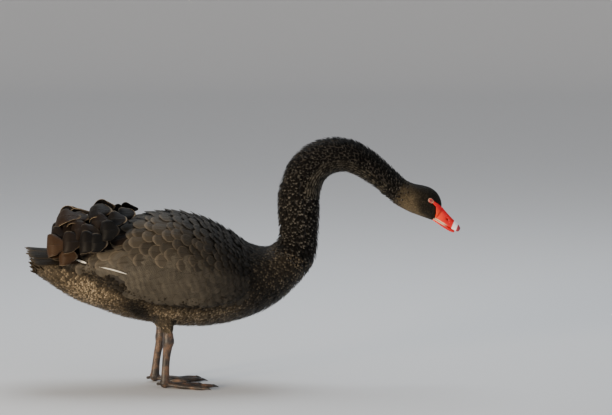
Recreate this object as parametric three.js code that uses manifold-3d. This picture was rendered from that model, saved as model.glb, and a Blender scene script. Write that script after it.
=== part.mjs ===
// A black swan at life size, standing with its neck arched forward and its bill lowered.
// Millimetres. +X is the way the swan faces, +Y its left side and +Z up, with the floor at z = 0.
import * as THREE from "three";
import { mergeVertices } from "three/addons/utils/BufferGeometryUtils.js";
import Module from "manifold-3d";

const wasm = await Module();
wasm.setup();

// Driving sizes
const GAP = 0.3; // clearance that touching pieces keep
const SKIN_SIDES = 26; // sides of a section through the body
const NECK_SIDES = 18;
const RINGS_A_ROW = 2; // rings laid for each row of the body sections
const TAIL_RINGS = 6;
const FULLNESS = 0.92; // under 1 makes a body section squarer than an ellipse
const EYE_RADIUS = 6.2;
const LID_TUBE = 1.5; // half thickness of the ring of lid
const BILL_SIDES = 14;
const WEB_THICKNESS = 2.2;
const FEATHER_THICKNESS = 2.2;
const FEATHER_EDGE = 0.7;
const ROOT_SUNK = 3.5; // how far a feather's root lies inside what it grows from
const TIP_LIFT = 1.8;
const LAYER = 2.9; // step in height between feathers that lie over one another
const FOOT_SPREAD = 50; // sideways distance of each foot from the middle plane
const SOLE_KNUCKLE_TOP = 20; // height at which the shank meets the foot
const SEED = 7;
const ROOM = { x: 800, y: 400, z: 900 }; // half length, half width and height of a space round it all

// Sections through body, neck and head, from tail to brow. Each row joins a point of the back to a
// point of the belly in the middle plane: [back x, back z, belly x, belly z, half width].
const TAIL_SECTIONS = [
  [-464, 291, -461, 251, 34],
  [-428, 300, -432, 231, 54],
  [-382, 314, -385, 201, 68],
];
const TORSO_SECTIONS = [
  [-335, 333, -335, 181, 82],
  [-274, 361, -274, 159, 96],
  [-207, 381, -207, 145, 104],
  [-140, 382, -140, 137, 108],
  [-76, 365, -76, 137, 107],
  [-22, 340, -9, 150, 101],
  [16, 322, 43, 168, 91],
];
const NECK_SECTIONS = [
  [45, 314, 94, 200, 76],
  [66, 317, 137, 244, 62],
  [80, 330, 164, 287, 52],
  [84, 352, 171, 334, 46.5],
  [81, 393, 174, 389, 44],
  [81, 431, 174, 422, 42.5],
  [89, 465, 179, 451, 40.5],
  [106, 505, 189, 469, 38.5],
  [133, 536, 204, 480, 37],
  [171, 556, 219, 484, 35.5],
  [216, 562, 234, 484, 34],
  [259, 552, 252, 478, 33],
  [295, 531, 272, 467, 31.5],
  [324, 506, 298, 450, 29.5],
  [349, 483, 323, 429, 28],
  [369, 465, 345, 411, 27.5],
];
const HEAD_SECTIONS = [
  [387, 457, 360, 402, 28],
  [407, 453, 378, 393, 29.5],
  [425, 447, 396, 386, 29],
  [439, 436, 413, 380, 25.5],
  [447, 421, 424, 376, 20],
  [450, 405, 431, 374, 15.5],
];
const BODY = [...TAIL_SECTIONS, ...TORSO_SECTIONS, ...NECK_SECTIONS, ...HEAD_SECTIONS];

// Places along BODY, counted in rows, where one node ends and the next begins
const TAIL_ROOT = TAIL_SECTIONS.length;
const NECK_ROOT = TAIL_ROOT + TORSO_SECTIONS.length - 0.5;
const NECK_CUTS = { bend: 13.6, arch: 17.4, fall: 21.6 };
const HEAD_ROOT = 25.5;
const HEAD_END = BODY.length - 1;

// Folded wing: [place along BODY, upper edge and lower edge as degrees from the back line, thickness]
const WING_SECTIONS = [
  [1.6, 16, 66, 4],
  [2.2, 12, 76, 9],
  [3, 9, 86, 14],
  [4, 5, 107, 18],
  [5, 3, 120, 20],
  [6, 3, 122, 20],
  [7, 4, 120, 18],
  [8, 8, 114, 12],
  [8.8, 26, 96, 4],
];

// Bill, from the brow to the nail, in the middle plane: [top x, top z, bottom x, bottom z, half width]
const UPPER_BILL = [
  [450, 404.5, 432, 379, 15.2],
  [460, 392.5, 446, 370, 13.6],
  [471.5, 380, 459, 362, 12.6],
  [481.5, 370, 471, 355, 12.4],
  [488.5, 362.5, 481, 350, 10.5],
  [492, 355, 487, 348, 6],
];
const LOWER_BILL = [
  [431, 381, 428.5, 375, 12.6],
  [446, 373, 442.5, 365, 11.8],
  [458, 365, 455, 356.5, 10.8],
  [469, 358, 467, 349.5, 9.8],
  [479, 351, 477, 346, 7],
];

// Where the eye and the nostril lie, as seen from the side
const EYE = { x: 424, z: 421, y: 25.5 };
const NOSTRIL = { x: 462, z: 377, y: 11.5, length: 4.5, height: 1.7 };

// Legs: x of the knee end of the shank, of the ankle and of the heel, for each side
const LEGS = {
  right: { side: -1, thigh: -186, knee: -166, ankle: -168, heel: -173 },
  left: { side: 1, thigh: -200, knee: -186, ankle: -189, heel: -200 },
};
// Toes: yaw away from straight ahead towards the middle plane, length and half width
const TOES = {
  inner: { yaw: 24, length: 84, half: 5.2 },
  middle: { yaw: 2, length: 110, half: 5.8 },
  outer: { yaw: -21, length: 102, half: 5.4 },
};
const HIND_TOE = { yaw: 168, length: 20, half: 4, height: 15 };
const CLAW_LENGTH = 11;

const radians = THREE.MathUtils.degToRad;
const lerp = THREE.MathUtils.lerp;
const vector = (x, y, z) => new THREE.Vector3(x, y, z);

let randomState = SEED;
// Repeatable random number from -1 to 1
function vary() {
  randomState = (randomState * 16807) % 2147483647;
  return (randomState / 2147483647) * 2 - 1;
}

// The rows' columns at place t, counted in rows, on a Catmull-Rom curve through them
function rowAt(rows, t) {
  const last = rows.length - 1;
  const i = Math.min(Math.max(Math.floor(t), 0), last - 1);
  const f = t - i;
  const [a, b, c, d] = [i - 1, i, i + 1, i + 2].map((k) => rows[Math.min(Math.max(k, 0), last)]);
  return b.map((_, k) => {
    const slopeIn = (c[k] - a[k]) / 2;
    const slopeOut = (d[k] - b[k]) / 2;
    const rise = c[k] - b[k];
    const bend = 3 * rise - 2 * slopeIn - slopeOut;
    const twist = slopeIn + slopeOut - 2 * rise;
    return b[k] + f * (slopeIn + f * (bend + f * twist));
  });
}

// A point on a section: angle 0 is the back line, 180 the belly line, and side -1 the right flank
function sectionPoint(row, angle, side, lift = 0) {
  const [backX, backZ, bellyX, bellyZ, half] = row;
  const back = vector(backX, 0, backZ);
  const belly = vector(bellyX, 0, bellyZ);
  const middle = back.clone().add(belly).multiplyScalar(0.5);
  const up = back.sub(belly).normalize();
  const reach = middle.distanceTo(belly) + lift;
  const c = Math.cos(angle);
  const s = Math.abs(Math.sin(angle));
  const height = Math.sign(c) * Math.abs(c) ** FULLNESS * reach;
  const width = side * s ** FULLNESS * (half + lift);
  return middle.addScaledVector(up, height).add(vector(0, width, 0));
}

function sectionRing(row, sides, lift = 0) {
  return Array.from({ length: sides }, (_, k) => {
    const angle = (2 * Math.PI * k) / sides;
    return sectionPoint(row, angle, Math.sin(angle) < 0 ? -1 : 1, lift);
  });
}

// A solid from points and triangles, turned the right way out
function solidFrom(points, triangles) {
  let volume = 0;
  for (const [a, b, c] of triangles) {
    volume += points[a].dot(points[b].clone().cross(points[c]));
  }
  const turned = volume < 0 ? triangles.map(([a, b, c]) => [a, c, b]) : triangles;
  const made = new wasm.Mesh({
    numProp: 3,
    vertProperties: new Float32Array(points.flatMap((p) => [p.x, p.y, p.z])),
    triVerts: new Uint32Array(turned.flat()),
  });
  return new wasm.Manifold(made);
}

// A closed solid through rings of equally many points, with flat ends
function loft(rings) {
  const sides = rings[0].length;
  const points = rings.flat();
  const triangles = [];
  for (let i = 0; i + 1 < rings.length; i += 1) {
    for (let k = 0; k < sides; k += 1) {
      const a = i * sides + k;
      const b = i * sides + ((k + 1) % sides);
      triangles.push([a, b, b + sides], [a, b + sides, a + sides]);
    }
  }
  for (const [start, flip] of [[0, true], [(rings.length - 1) * sides, false]]) {
    const centre = new THREE.Vector3();
    for (let k = 0; k < sides; k += 1) {
      centre.addScaledVector(points[start + k], 1 / sides);
    }
    points.push(centre);
    for (let k = 0; k < sides; k += 1) {
      const edge = [start + k, start + ((k + 1) % sides)];
      triangles.push(flip ? [edge[1], edge[0], points.length - 1] : [...edge, points.length - 1]);
    }
  }
  return solidFrom(points, triangles);
}

// A stretch of the body from place `from` to place `to`, with half the gap taken off each cut end
function bodyStretch(from, to, sides, options = {}) {
  const { lift = 0, trimStart = GAP / 2, trimEnd = GAP / 2 } = options;
  const { steps = Math.round((to - from) * RINGS_A_ROW) } = options;
  const speed = (t) => {
    const [a, b] = [rowAt(BODY, t - 0.02), rowAt(BODY, t + 0.02)];
    return Math.hypot(b[0] + b[2] - a[0] - a[2], b[1] + b[3] - a[1] - a[3]) / 2 / 0.04;
  };
  const start = from + trimStart / speed(from);
  const end = to - trimEnd / speed(to);
  const rings = [];
  for (let i = 0; i <= steps; i += 1) {
    rings.push(sectionRing(rowAt(BODY, lerp(start, end, i / steps)), sides, lift));
  }
  return { rings, solid: loft(rings) };
}

// Shrinks copies of an end ring into a rounded end that reaches `reach` past it
function roundedEnd(ring, outward, reach) {
  const centre = new THREE.Vector3();
  ring.forEach((p) => centre.addScaledVector(p, 1 / ring.length));
  return [0.35, 0.7, 0.92].map((share) => {
    const scale = Math.sqrt(1 - share * share);
    return ring.map((p) =>
      p.clone().sub(centre).multiplyScalar(scale).add(centre).addScaledVector(outward, reach * share),
    );
  });
}

// Joins solids and keeps the largest body
function fused(solids) {
  const joined = wasm.Manifold.union(solids);
  return joined.decompose().reduce((best, one) => (one.volume() > best.volume() ? one : best));
}

function largest(solid) {
  return solid.decompose().reduce((best, one) => (one.volume() > best.volume() ? one : best));
}

function solidOfGeometry(geometry) {
  const bare = geometry.clone();
  bare.deleteAttribute("normal");
  bare.deleteAttribute("uv");
  const merged = mergeVertices(bare, 1e-4);
  return new wasm.Manifold(
    new wasm.Mesh({
      numProp: 3,
      vertProperties: new Float32Array(merged.attributes.position.array),
      triVerts: new Uint32Array(merged.index.array),
    }),
  );
}

function ball(centre, radii, detail = 16) {
  const geometry = new THREE.SphereGeometry(1, detail, Math.round(detail * 0.6));
  geometry.scale(radii.x, radii.y, radii.z);
  geometry.translate(centre.x, centre.y, centre.z);
  return solidOfGeometry(geometry);
}

// A box from its lowest and highest corners, for cutting
function block(low, high) {
  const geometry = new THREE.BoxGeometry(high.x - low.x, high.y - low.y, high.z - low.z);
  geometry.translate((low.x + high.x) / 2, (low.y + high.y) / 2, (low.z + high.z) / 2);
  return solidOfGeometry(geometry);
}

// A feather vane: `path(u)` gives its centre line from root (u = 0) to tip (u = 1) with the vane's
// across and up directions there. The vane is widest at two thirds of its length and rounds off.
function vane(path, halfWidth, options = {}) {
  const { places = [0, 0.42, 0.8, 1], thickness = FEATHER_THICKNESS } = options;
  const { cup = 0, pointed = 0.42, grow = 0 } = options;
  const rings = [];
  for (const u of places) {
    const { centre, across, up } = path(u);
    const swell = 0.62 + 0.38 * Math.sin(Math.PI * Math.min(u / 0.8, 1) * 0.5);
    const round = u > 0.7 ? lerp(1, pointed, ((u - 0.7) / 0.3) ** 2) : 1;
    const half = halfWidth * swell * round + grow;
    const ridge = thickness * (1 - 0.55 * u) + 2 * grow;
    const rim = FEATHER_EDGE / 2 + grow;
    const at = (side, height) =>
      centre.clone().addScaledVector(across, side * half).addScaledVector(up, height);
    const edge = cup * half;
    rings.push([
      at(-1, edge + rim),
      at(0, ridge / 2),
      at(1, edge + rim),
      at(1, edge - rim),
      at(0, -ridge / 2),
      at(-1, edge - rim),
    ]);
  }
  return loft(rings);
}

// A vane that lies along the body from one place and angle to another. Its root is sunk in, and the
// rest stands off by `layer`, so that neighbours pass over each other without crossing.
function lyingVane(from, to, halfWidth, side, layer, options = {}) {
  const path = (u) => {
    const t = lerp(from.t, to.t, u);
    const angle = radians(lerp(from.angle, to.angle, u));
    const lift = lerp(-ROOT_SUNK, layer + TIP_LIFT * u, Math.min(u / 0.34, 1)) + wingThickness(t, angle);
    const centre = sectionPoint(rowAt(BODY, t), angle, side, lift);
    const beside = sectionPoint(rowAt(BODY, t), angle + 0.06, side, lift);
    const ahead = sectionPoint(rowAt(BODY, t - 0.1), angle, side, lift);
    const across = beside.sub(centre).normalize();
    const up = across.clone().cross(ahead.sub(centre)).normalize().multiplyScalar(side);
    return { centre, across, up };
  };
  return vane(path, halfWidth, options);
}

// How far the folded wing stands off the body at a place and angle
function wingThickness(t, angle) {
  const places = WING_SECTIONS.map((row) => row[0]);
  if (t <= places[0] || t >= places.at(-1)) {
    return 0;
  }
  const i = places.findIndex((p) => p > t) - 1;
  const [, top, bottom, thick] = rowAt(WING_SECTIONS, i + (t - places[i]) / (places[i + 1] - places[i]));
  const share = (THREE.MathUtils.radToDeg(angle) - top) / (bottom - top);
  return share <= 0 || share >= 1 ? 0 : thick * Math.sin(Math.PI * share) ** 0.6;
}

// The folded wing's own body: a lens laid over the flank, from shoulder to rump
function wingCore(side) {
  const steps = 10;
  const across = 6;
  const rings = [];
  for (let i = 0; i <= steps; i += 1) {
    const [t, top, bottom, thick] = rowAt(WING_SECTIONS, (i / steps) * (WING_SECTIONS.length - 1));
    const row = rowAt(BODY, t);
    const outer = [];
    const inner = [];
    for (let k = 0; k <= across; k += 1) {
      const angle = radians(lerp(top, bottom, k / across));
      const lift = thick * Math.sin((Math.PI * k) / across) ** 0.6;
      outer.push(sectionPoint(row, angle, side, 1.5 + lift));
      inner.push(sectionPoint(row, angle, side, -4));
    }
    rings.push([...outer, ...inner.reverse()]);
  }
  return loft(rings);
}

// Tiers of feathers on the folded wing: where each row starts along the body, how many feathers it
// has from its upper to its lower angle, how far back they reach, and their half width
const WING_TIERS = [
  { name: "shoulder coverts", start: 7.7, reach: 1.0, from: 26, to: 84, count: 4, half: 17 },
  { name: "scapulars", start: 6.8, reach: 1.1, from: 13, to: 76, count: 5, half: 19 },
  { name: "lower coverts", start: 6.2, reach: 1.3, from: 86, to: 112, count: 3, half: 21 },
  { name: "long scapulars", start: 5.8, reach: 1.2, from: 12, to: 70, count: 4, half: 22 },
  { name: "rear coverts", start: 4.9, reach: 1.2, from: 86, to: 110, count: 3, half: 19 },
  { name: "tertials", start: 4.8, reach: 1.3, from: 14, to: 62, count: 3, half: 22 },
  { name: "secondaries", start: 3.9, reach: 1.5, from: 66, to: 92, count: 3, half: 16 },
];

function wingTier(tier, side) {
  return Array.from({ length: tier.count }, (_, k) => {
    const share = tier.count > 1 ? k / (tier.count - 1) : 0;
    const angle = lerp(tier.from, tier.to, share) + vary();
    const start = tier.start + 0.12 * vary() - 0.25 * Math.abs(share - 0.5);
    return lyingVane(
      { t: start, angle },
      { t: start - tier.reach, angle: angle + 1.5 + 1.5 * vary() },
      tier.half * (1 + 0.06 * vary()),
      side,
      LAYER * (1 + (k % 2)) - 0.5,
      { places: [0, 0.52, 1] },
    );
  });
}

// White flight feathers that show below the wing's rear edge
function primaries(side) {
  return Array.from({ length: 3 }, (_, k) =>
    lyingVane(
      { t: 3.7 - 0.1 * k, angle: 80 + 3 * k },
      { t: 1.75 + 0.3 * k, angle: 71 + 5 * k },
      9,
      side,
      1.6 + 1.6 * k,
      { pointed: 0.3 },
    ),
  );
}

// The long inner feathers curl up and over: [root place, root angle, straight length, curl radius, curl
// degrees, half width, lean away from the middle plane]
const CURLS = [
  [4.5, 19, 18, 14, 172, 18, 42],
  [4.1, 42, 30, 17, 172, 24, 66],
  [3.7, 14, 34, 25, 172, 24, 37],
  [3.4, 52, 38, 17, 172, 26, 70],
  [3.1, 31, 40, 19, 172, 26, 54],
  [2.8, 14, 54, 29, 172, 24, 34],
  [2.45, 29, 54, 19, 172, 24, 54],
  [2.4, 42, 60, 18, 172, 26, 66],
];
const CURL_RISE = 0.32; // slope of the straight length
const CURL_RETURN = 26; // length that runs on towards the front after the curl

function curledVane([t, angle, straight, radius, turn, half, lean], side) {
  const root = sectionPoint(rowAt(BODY, t), radians(angle), side, wingThickness(t, radians(angle)) - 2);
  const away = radians(lean + 5 * vary());
  const out = vector(0, side * Math.sin(away), Math.cos(away));
  const back = vector(-1, 0, 0).addScaledVector(out, CURL_RISE).normalize();
  const across = out.clone().cross(back).normalize();
  const up = back.clone().cross(across);
  const arc = radius * radians(turn);
  const total = straight + arc + CURL_RETURN;
  const path = (u) => {
    const s = u * total;
    const bend = Math.min(Math.max(s - straight, 0) / radius, radians(turn));
    const beyond = Math.max(s - straight - arc, 0);
    const along = Math.min(s, straight) + radius * Math.sin(bend) + beyond * Math.cos(bend);
    const rise = radius * (1 - Math.cos(bend)) + beyond * Math.sin(bend);
    const centre = root.clone().addScaledVector(back, along).addScaledVector(up, rise);
    const normal = up.clone().multiplyScalar(Math.cos(bend)).addScaledVector(back, -Math.sin(bend));
    return { centre, across, up: normal };
  };
  const bends = [0, 0.33, 0.67, 1].map((share) => (straight + arc * share) / total);
  return vane(path, half * (1 + 0.05 * vary()), { places: [0, ...bends, 1], cup: 0.1, pointed: 0.75 });
}

// Tail feathers fan out from the rump and droop towards the sides
function tailVane(place, options) {
  const { root, length, spread, half, rise, height, droop, grow } = options;
  const yaw = radians(spread * place);
  const path = (u) => {
    const reach = length * (1 - 0.2 * place * place) * u;
    const y = root.half * place + reach * Math.sin(yaw);
    const x = root.x - reach * Math.cos(yaw);
    const z = height + rise * u - droop * place * place * (0.6 + 0.4 * u);
    const slope = radians(-34 * place);
    return {
      centre: vector(x, y, z),
      across: vector(0, Math.cos(slope), Math.sin(slope)),
      up: vector(0, -Math.sin(slope), Math.cos(slope)),
    };
  };
  return vane(path, half, { places: [0, 0.7, 1], pointed: 0.6, grow });
}

// The tail's own feathers, the coverts over them and two tiers of coverts under them, then how far
// back each tier starts and half its width there
const TAIL_TIERS = [
  { count: 11, length: 102, spread: 20, half: 13, rise: 6, height: 303, droop: 27 },
  { count: 5, length: 62, spread: 16, half: 15, rise: 6, height: 310, droop: 25 },
  { count: 5, length: 66, spread: 17, half: 15, rise: 20, height: 248, droop: -8 },
  { count: 5, length: 68, spread: 15, half: 17, rise: 26, height: 222, droop: -10 },
];
const TAIL_ROOTS = [
  { x: -388, half: 47 },
  { x: -372, half: 38 },
  { x: -406, half: 30 },
  { x: -366, half: 36 },
];

function tailTier(tier, grow = 0) {
  return Array.from({ length: tier.count }, (_, k) => {
    const place = (2 * k) / (tier.count - 1) - 1;
    const height = tier.height + (k % 2) * LAYER;
    const length = tier.length * (1 + 0.03 * Math.sin(5 * k)) + 2 * grow;
    const root = TAIL_ROOTS[TAIL_TIERS.indexOf(tier)];
    return tailVane(place, { ...tier, root, height, length, grow });
  });
}

function tail() {
  const { rings } = bodyStretch(0, TAIL_ROOT, SKIN_SIDES, { trimStart: 0, steps: TAIL_RINGS });
  const tip = roundedEnd(rings[0], vector(-1, 0, 0), 14).reverse();
  return fused([loft([...tip, ...rings]), ...TAIL_TIERS.flatMap((tier) => tailTier(tier))]);
}

function wing(side, keepOut) {
  const feathers = [...WING_TIERS.flatMap((tier) => wingTier(tier, side)), ...primaries(side)];
  const curls = CURLS.map((curl) => curledVane(curl, side));
  const whole = fused([wingCore(side), ...feathers, ...curls]);
  const inner = side * GAP;
  const outer = side * ROOM.y;
  const low = vector(-ROOM.x, Math.min(inner, outer), 0);
  const high = vector(ROOM.x, Math.max(inner, outer), ROOM.z);
  const ownSide = block(low, high);
  return largest(keepOut.reduce((left, cutter) => left.subtract(cutter), whole).intersect(ownSide));
}

// Head with eye sockets, and a raised ring of lid round each
function head(bills) {
  const { rings } = bodyStretch(HEAD_ROOT, HEAD_END, NECK_SIDES, { trimEnd: 0, steps: 9 });
  const core = loft(rings);
  const lids = [-1, 1].map((side) => {
    const ring = new THREE.TorusGeometry(EYE_RADIUS, LID_TUBE, 4, 12);
    ring.rotateX(Math.PI / 2);
    ring.translate(EYE.x, side * (EYE.y + 1.2), EYE.z);
    return solidOfGeometry(ring);
  });
  const sockets = [-1, 1].map((side) => eye(side, GAP));
  let made = fused([core, ...lids]);
  [...sockets, ...bills].forEach((cutter) => {
    made = made.subtract(cutter);
  });
  return largest(made);
}

function eye(side, grow = 0) {
  const radius = EYE_RADIUS + grow;
  return ball(vector(EYE.x, side * (EYE.y - 2.2), EYE.z), vector(radius, radius, radius), 12);
}

function billHalf(rows, grow = 0) {
  const rings = [];
  const steps = (rows.length - 1) * 2;
  for (let i = 0; i <= steps; i += 1) {
    rings.push(sectionRing(rowAt(rows, (i / steps) * (rows.length - 1)), BILL_SIDES, grow));
  }
  return loft(rings);
}

// Side outline of the bare skin that runs from the bill back to the front of the eye, clockwise
const LORES = [
  [431, 374],
  [434.5, 383],
  [436.7, 396],
  [436.5, 406.5],
  [428, 415.5],
  [429.5, 421],
  [441, 413],
  [452, 402],
  [458, 394],
];

// Moves each corner of a clockwise outline outwards, so that its edges stand off by `grow`
function standOff(outline, grow) {
  return outline.map(([x, z], i) => {
    const [px, pz] = outline.at(i - 1);
    const [nx, nz] = outline[(i + 1) % outline.length];
    const before = new THREE.Vector2(pz - z, x - px).normalize();
    const after = new THREE.Vector2(z - nz, nx - x).normalize();
    const out = before.clone().add(after).multiplyScalar(grow / (1 + before.dot(after)));
    return [x + out.x, z + out.y];
  });
}

function lores(grow = 0) {
  const outline = standOff(LORES, grow);
  const shape = new THREE.Shape(outline.map(([x, z]) => new THREE.Vector2(x, z)));
  const geometry = new THREE.ExtrudeGeometry(shape, { depth: 80, bevelEnabled: false });
  geometry.rotateX(Math.PI / 2);
  geometry.translate(0, 40, 0);
  return solidOfGeometry(geometry);
}

function upperBill() {
  const options = { lift: 0.6, trimEnd: 0, steps: 7 };
  const brow = bodyStretch(HEAD_ROOT + 1, HEAD_END, NECK_SIDES, options).solid;
  const sockets = [-1, 1].map((side) => eye(side, GAP + LID_TUBE));
  const patch = brow.intersect(lores());
  let made = fused([billHalf(UPPER_BILL), patch]);
  const nostrils = [-1, 1].map((side) => {
    const hole = new THREE.SphereGeometry(1, 10, 6);
    hole.scale(NOSTRIL.length, 3, NOSTRIL.height);
    hole.rotateY(radians(45));
    hole.translate(NOSTRIL.x, side * NOSTRIL.y, NOSTRIL.z);
    return solidOfGeometry(hole);
  });
  [...sockets, ...nostrils, billHalf(LOWER_BILL, GAP)].forEach((cutter) => {
    made = made.subtract(cutter);
  });
  return largest(made);
}

// A limb from rows of [x, y, z, half depth, half width], with level sections
function limb(rows, sides, steps) {
  const rings = [];
  for (let i = 0; i <= steps; i += 1) {
    const [x, y, z, depth, width] = rowAt(rows, (i / steps) * (rows.length - 1));
    rings.push(
      Array.from({ length: sides }, (_, k) => {
        const angle = (2 * Math.PI * k) / sides;
        return vector(x + depth * Math.cos(angle), y + width * Math.sin(angle), z);
      }),
    );
  }
  return loft(rings);
}

function thigh(leg, torso) {
  const y = leg.side * FOOT_SPREAD;
  const rows = [
    [leg.thigh, y * 0.92, 205, 44, 34],
    [leg.thigh + 4, y * 0.94, 175, 36, 30],
    [lerp(leg.thigh, leg.knee, 0.7), y * 0.98, 148, 22, 20],
    [leg.knee, y, 127 + GAP, 12.5, 11.5],
  ];
  return largest(limb(rows, 14, 6).subtract(torso));
}

function shank(leg) {
  const y = leg.side * FOOT_SPREAD;
  const rows = [
    [leg.knee, y, 127, 11.5, 10],
    [leg.knee + 1, y, 115, 12.2, 10],
    [leg.ankle + 3, y, 103, 13.2, 10.6],
    [leg.ankle + 1, y, 90, 10.4, 8.4],
    [lerp(leg.ankle, leg.heel, 0.4), y, 66, 8.8, 7],
    [lerp(leg.ankle, leg.heel, 0.75), y, 40, 8.8, 7],
    [leg.heel, y, SOLE_KNUCKLE_TOP + GAP, 10.2, 9],
  ];
  return limb(rows, 12, 10);
}

// One toe from the heel outward, with a swelling at each joint
function toe(start, yaw, length, half, heights) {
  const ahead = vector(Math.cos(yaw), Math.sin(yaw), 0);
  const beside = vector(-Math.sin(yaw), Math.cos(yaw), 0);
  const steps = 5;
  const rings = [];
  for (let i = 0; i <= steps; i += 1) {
    const u = i / steps;
    const joint = 1 + 0.14 * Math.cos(2 * Math.PI * u * 2.5);
    const size = half * lerp(1.12, 0.78, u) * joint;
    const centre = start.clone().addScaledVector(ahead, length * u);
    centre.z = lerp(heights[0], heights[1], Math.min(u * 1.8, 1));
    rings.push(
      Array.from({ length: 8 }, (_, k) => {
        const angle = (2 * Math.PI * (k + 0.5)) / 8;
        return centre
          .clone()
          .addScaledVector(beside, size * Math.cos(angle))
          .add(vector(0, 0, size * 0.92 * Math.sin(angle)));
      }),
    );
  }
  return loft(rings);
}

function toePlan(leg) {
  const heel = vector(leg.heel, leg.side * FOOT_SPREAD, 0);
  return Object.entries(TOES).map(([name, plan]) => {
    const yaw = radians(plan.yaw) * -leg.side;
    const tip = heel.clone().add(vector(Math.cos(yaw), Math.sin(yaw), 0).multiplyScalar(plan.length));
    return { ...plan, name, yaw, heel, tip };
  });
}

// Webbing between the toes, its front edge curving back between one toe tip and the next
function web(leg) {
  const toes = toePlan(leg);
  const shape = new THREE.Shape();
  const heel = toes[0].heel;
  const inner = (tip) => tip.clone().lerp(heel, 0.07);
  const [a, b, c] = toes.map((one) => inner(one.tip));
  const dip = (p, q) => p.clone().add(q).multiplyScalar(0.5).lerp(heel, 0.2);
  shape.moveTo(heel.x - 4, heel.y);
  shape.lineTo(a.x, a.y);
  shape.quadraticCurveTo(dip(a, b).x, dip(a, b).y, b.x, b.y);
  shape.quadraticCurveTo(dip(b, c).x, dip(b, c).y, c.x, c.y);
  const options = { depth: WEB_THICKNESS, bevelEnabled: false, curveSegments: 4 };
  const geometry = new THREE.ExtrudeGeometry(shape, options);
  geometry.translate(0, 0, 1);
  return solidOfGeometry(geometry);
}

function foot(leg) {
  const toes = toePlan(leg).map((one) => toe(one.heel, one.yaw, one.length, one.half, [9, 3.4]));
  const heel = vector(leg.heel, leg.side * FOOT_SPREAD, 0);
  const knuckle = ball(heel.clone().setZ(12), vector(12, 10.5, 12.5), 10);
  const hindYaw = radians(HIND_TOE.yaw) * -leg.side;
  const hindHeights = [HIND_TOE.height, HIND_TOE.height - 6];
  const hind = toe(heel.clone(), hindYaw, HIND_TOE.length, HIND_TOE.half, hindHeights);
  const space = block(vector(-ROOM.x, -ROOM.y, 0), vector(ROOM.x, ROOM.y, SOLE_KNUCKLE_TOP));
  return largest(fused([knuckle, ...toes, hind, web(leg)]).intersect(space));
}

// Claw on the tip of a toe: a short curved cone that stays clear of the floor
function claw(start, yaw, half, height, length) {
  const ahead = vector(Math.cos(yaw), Math.sin(yaw), 0);
  const beside = vector(-Math.sin(yaw), Math.cos(yaw), 0);
  const rings = [0, 0.4, 0.75, 1].map((u) => {
    const size = half * lerp(0.62, 0.14, u);
    const centre = start.clone().addScaledVector(ahead, GAP + length * u);
    centre.z = height + 0.6 - 1.6 * u * u;
    return Array.from({ length: 8 }, (_, k) => {
      const angle = (2 * Math.PI * k) / 8;
      const up = vector(0, 0, size * Math.sin(angle));
      return centre.clone().addScaledVector(beside, size * 0.8 * Math.cos(angle)).add(up);
    });
  });
  return loft(rings);
}

// Finishes
const finish = (color, roughness) => new THREE.MeshStandardMaterial({ color, roughness, metalness: 0 });
const PLUMAGE = finish(0x2b2722, 0.85);
const WING_PLUMAGE = finish(0x39332b, 0.8);
const RED_BILL = finish(0xc8202a, 0.35);
const LEG_SKIN = finish(0x4a3c34, 0.6);
const CLAW_HORN = finish(0x1c1917, 0.45);
const EYE_RED = finish(0x9a1f18, 0.12);

const swan = new THREE.Group();

function add(name, solid, material) {
  const { vertProperties, triVerts, numProp } = solid.getMesh();
  const places = new Float32Array((vertProperties.length / numProp) * 3);
  for (let i = 0; i < places.length / 3; i += 1) {
    places.set(vertProperties.subarray(i * numProp, i * numProp + 3), i * 3);
  }
  const geometry = new THREE.BufferGeometry();
  geometry.setAttribute("position", new THREE.BufferAttribute(places, 3));
  geometry.setIndex(new THREE.BufferAttribute(triVerts, 1));
  const made = new THREE.Mesh(geometry, material);
  made.name = name;
  swan.add(made);
}

// Body, neck and tail
const loose = { lift: GAP, trimStart: 0, trimEnd: 0 };
const tailEnd = TAIL_ROOT + 0.02;
const torsoKeepOut = bodyStretch(TAIL_ROOT - 0.02, NECK_ROOT + 0.02, SKIN_SIDES, loose).solid;
const rumpKeepOut = bodyStretch(0, tailEnd, SKIN_SIDES, { ...loose, steps: TAIL_RINGS }).solid;
const tailKeepOut = [torsoKeepOut, rumpKeepOut, ...TAIL_TIERS.flatMap((tier) => tailTier(tier, GAP))];
add("torso", bodyStretch(TAIL_ROOT, NECK_ROOT, SKIN_SIDES).solid, PLUMAGE);
add("tail", tail(), PLUMAGE);
const neckCuts = [NECK_ROOT, NECK_CUTS.bend, NECK_CUTS.arch, NECK_CUTS.fall, HEAD_ROOT];
["neck_base", "neck_rise", "neck_arch", "neck_fall"].forEach((name, i) => {
  add(name, bodyStretch(neckCuts[i], neckCuts[i + 1], NECK_SIDES).solid, PLUMAGE);
});

// Wings
add("wing_right", wing(-1, tailKeepOut), WING_PLUMAGE);
add("wing_left", wing(1, tailKeepOut), WING_PLUMAGE);

// Head, eyes and bill
const billRoom = [lores(1.3 * GAP), billHalf(UPPER_BILL, GAP), billHalf(LOWER_BILL, GAP)];
add("head", head(billRoom), PLUMAGE);
add("bill_upper", upperBill(), RED_BILL);
add("bill_lower", billHalf(LOWER_BILL), RED_BILL);
add("eye_right", eye(-1), EYE_RED);
add("eye_left", eye(1), EYE_RED);

// Legs
for (const [name, leg] of Object.entries(LEGS)) {
  add(`thigh_${name}`, thigh(leg, torsoKeepOut), PLUMAGE);
  add(`shank_${name}`, shank(leg), LEG_SKIN);
  add(`foot_${name}`, foot(leg), LEG_SKIN);
  for (const one of toePlan(leg)) {
    add(`claw_${name}_${one.name}`, claw(one.tip, one.yaw, one.half, 3.4, CLAW_LENGTH), CLAW_HORN);
  }
}

export default swan;
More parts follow.
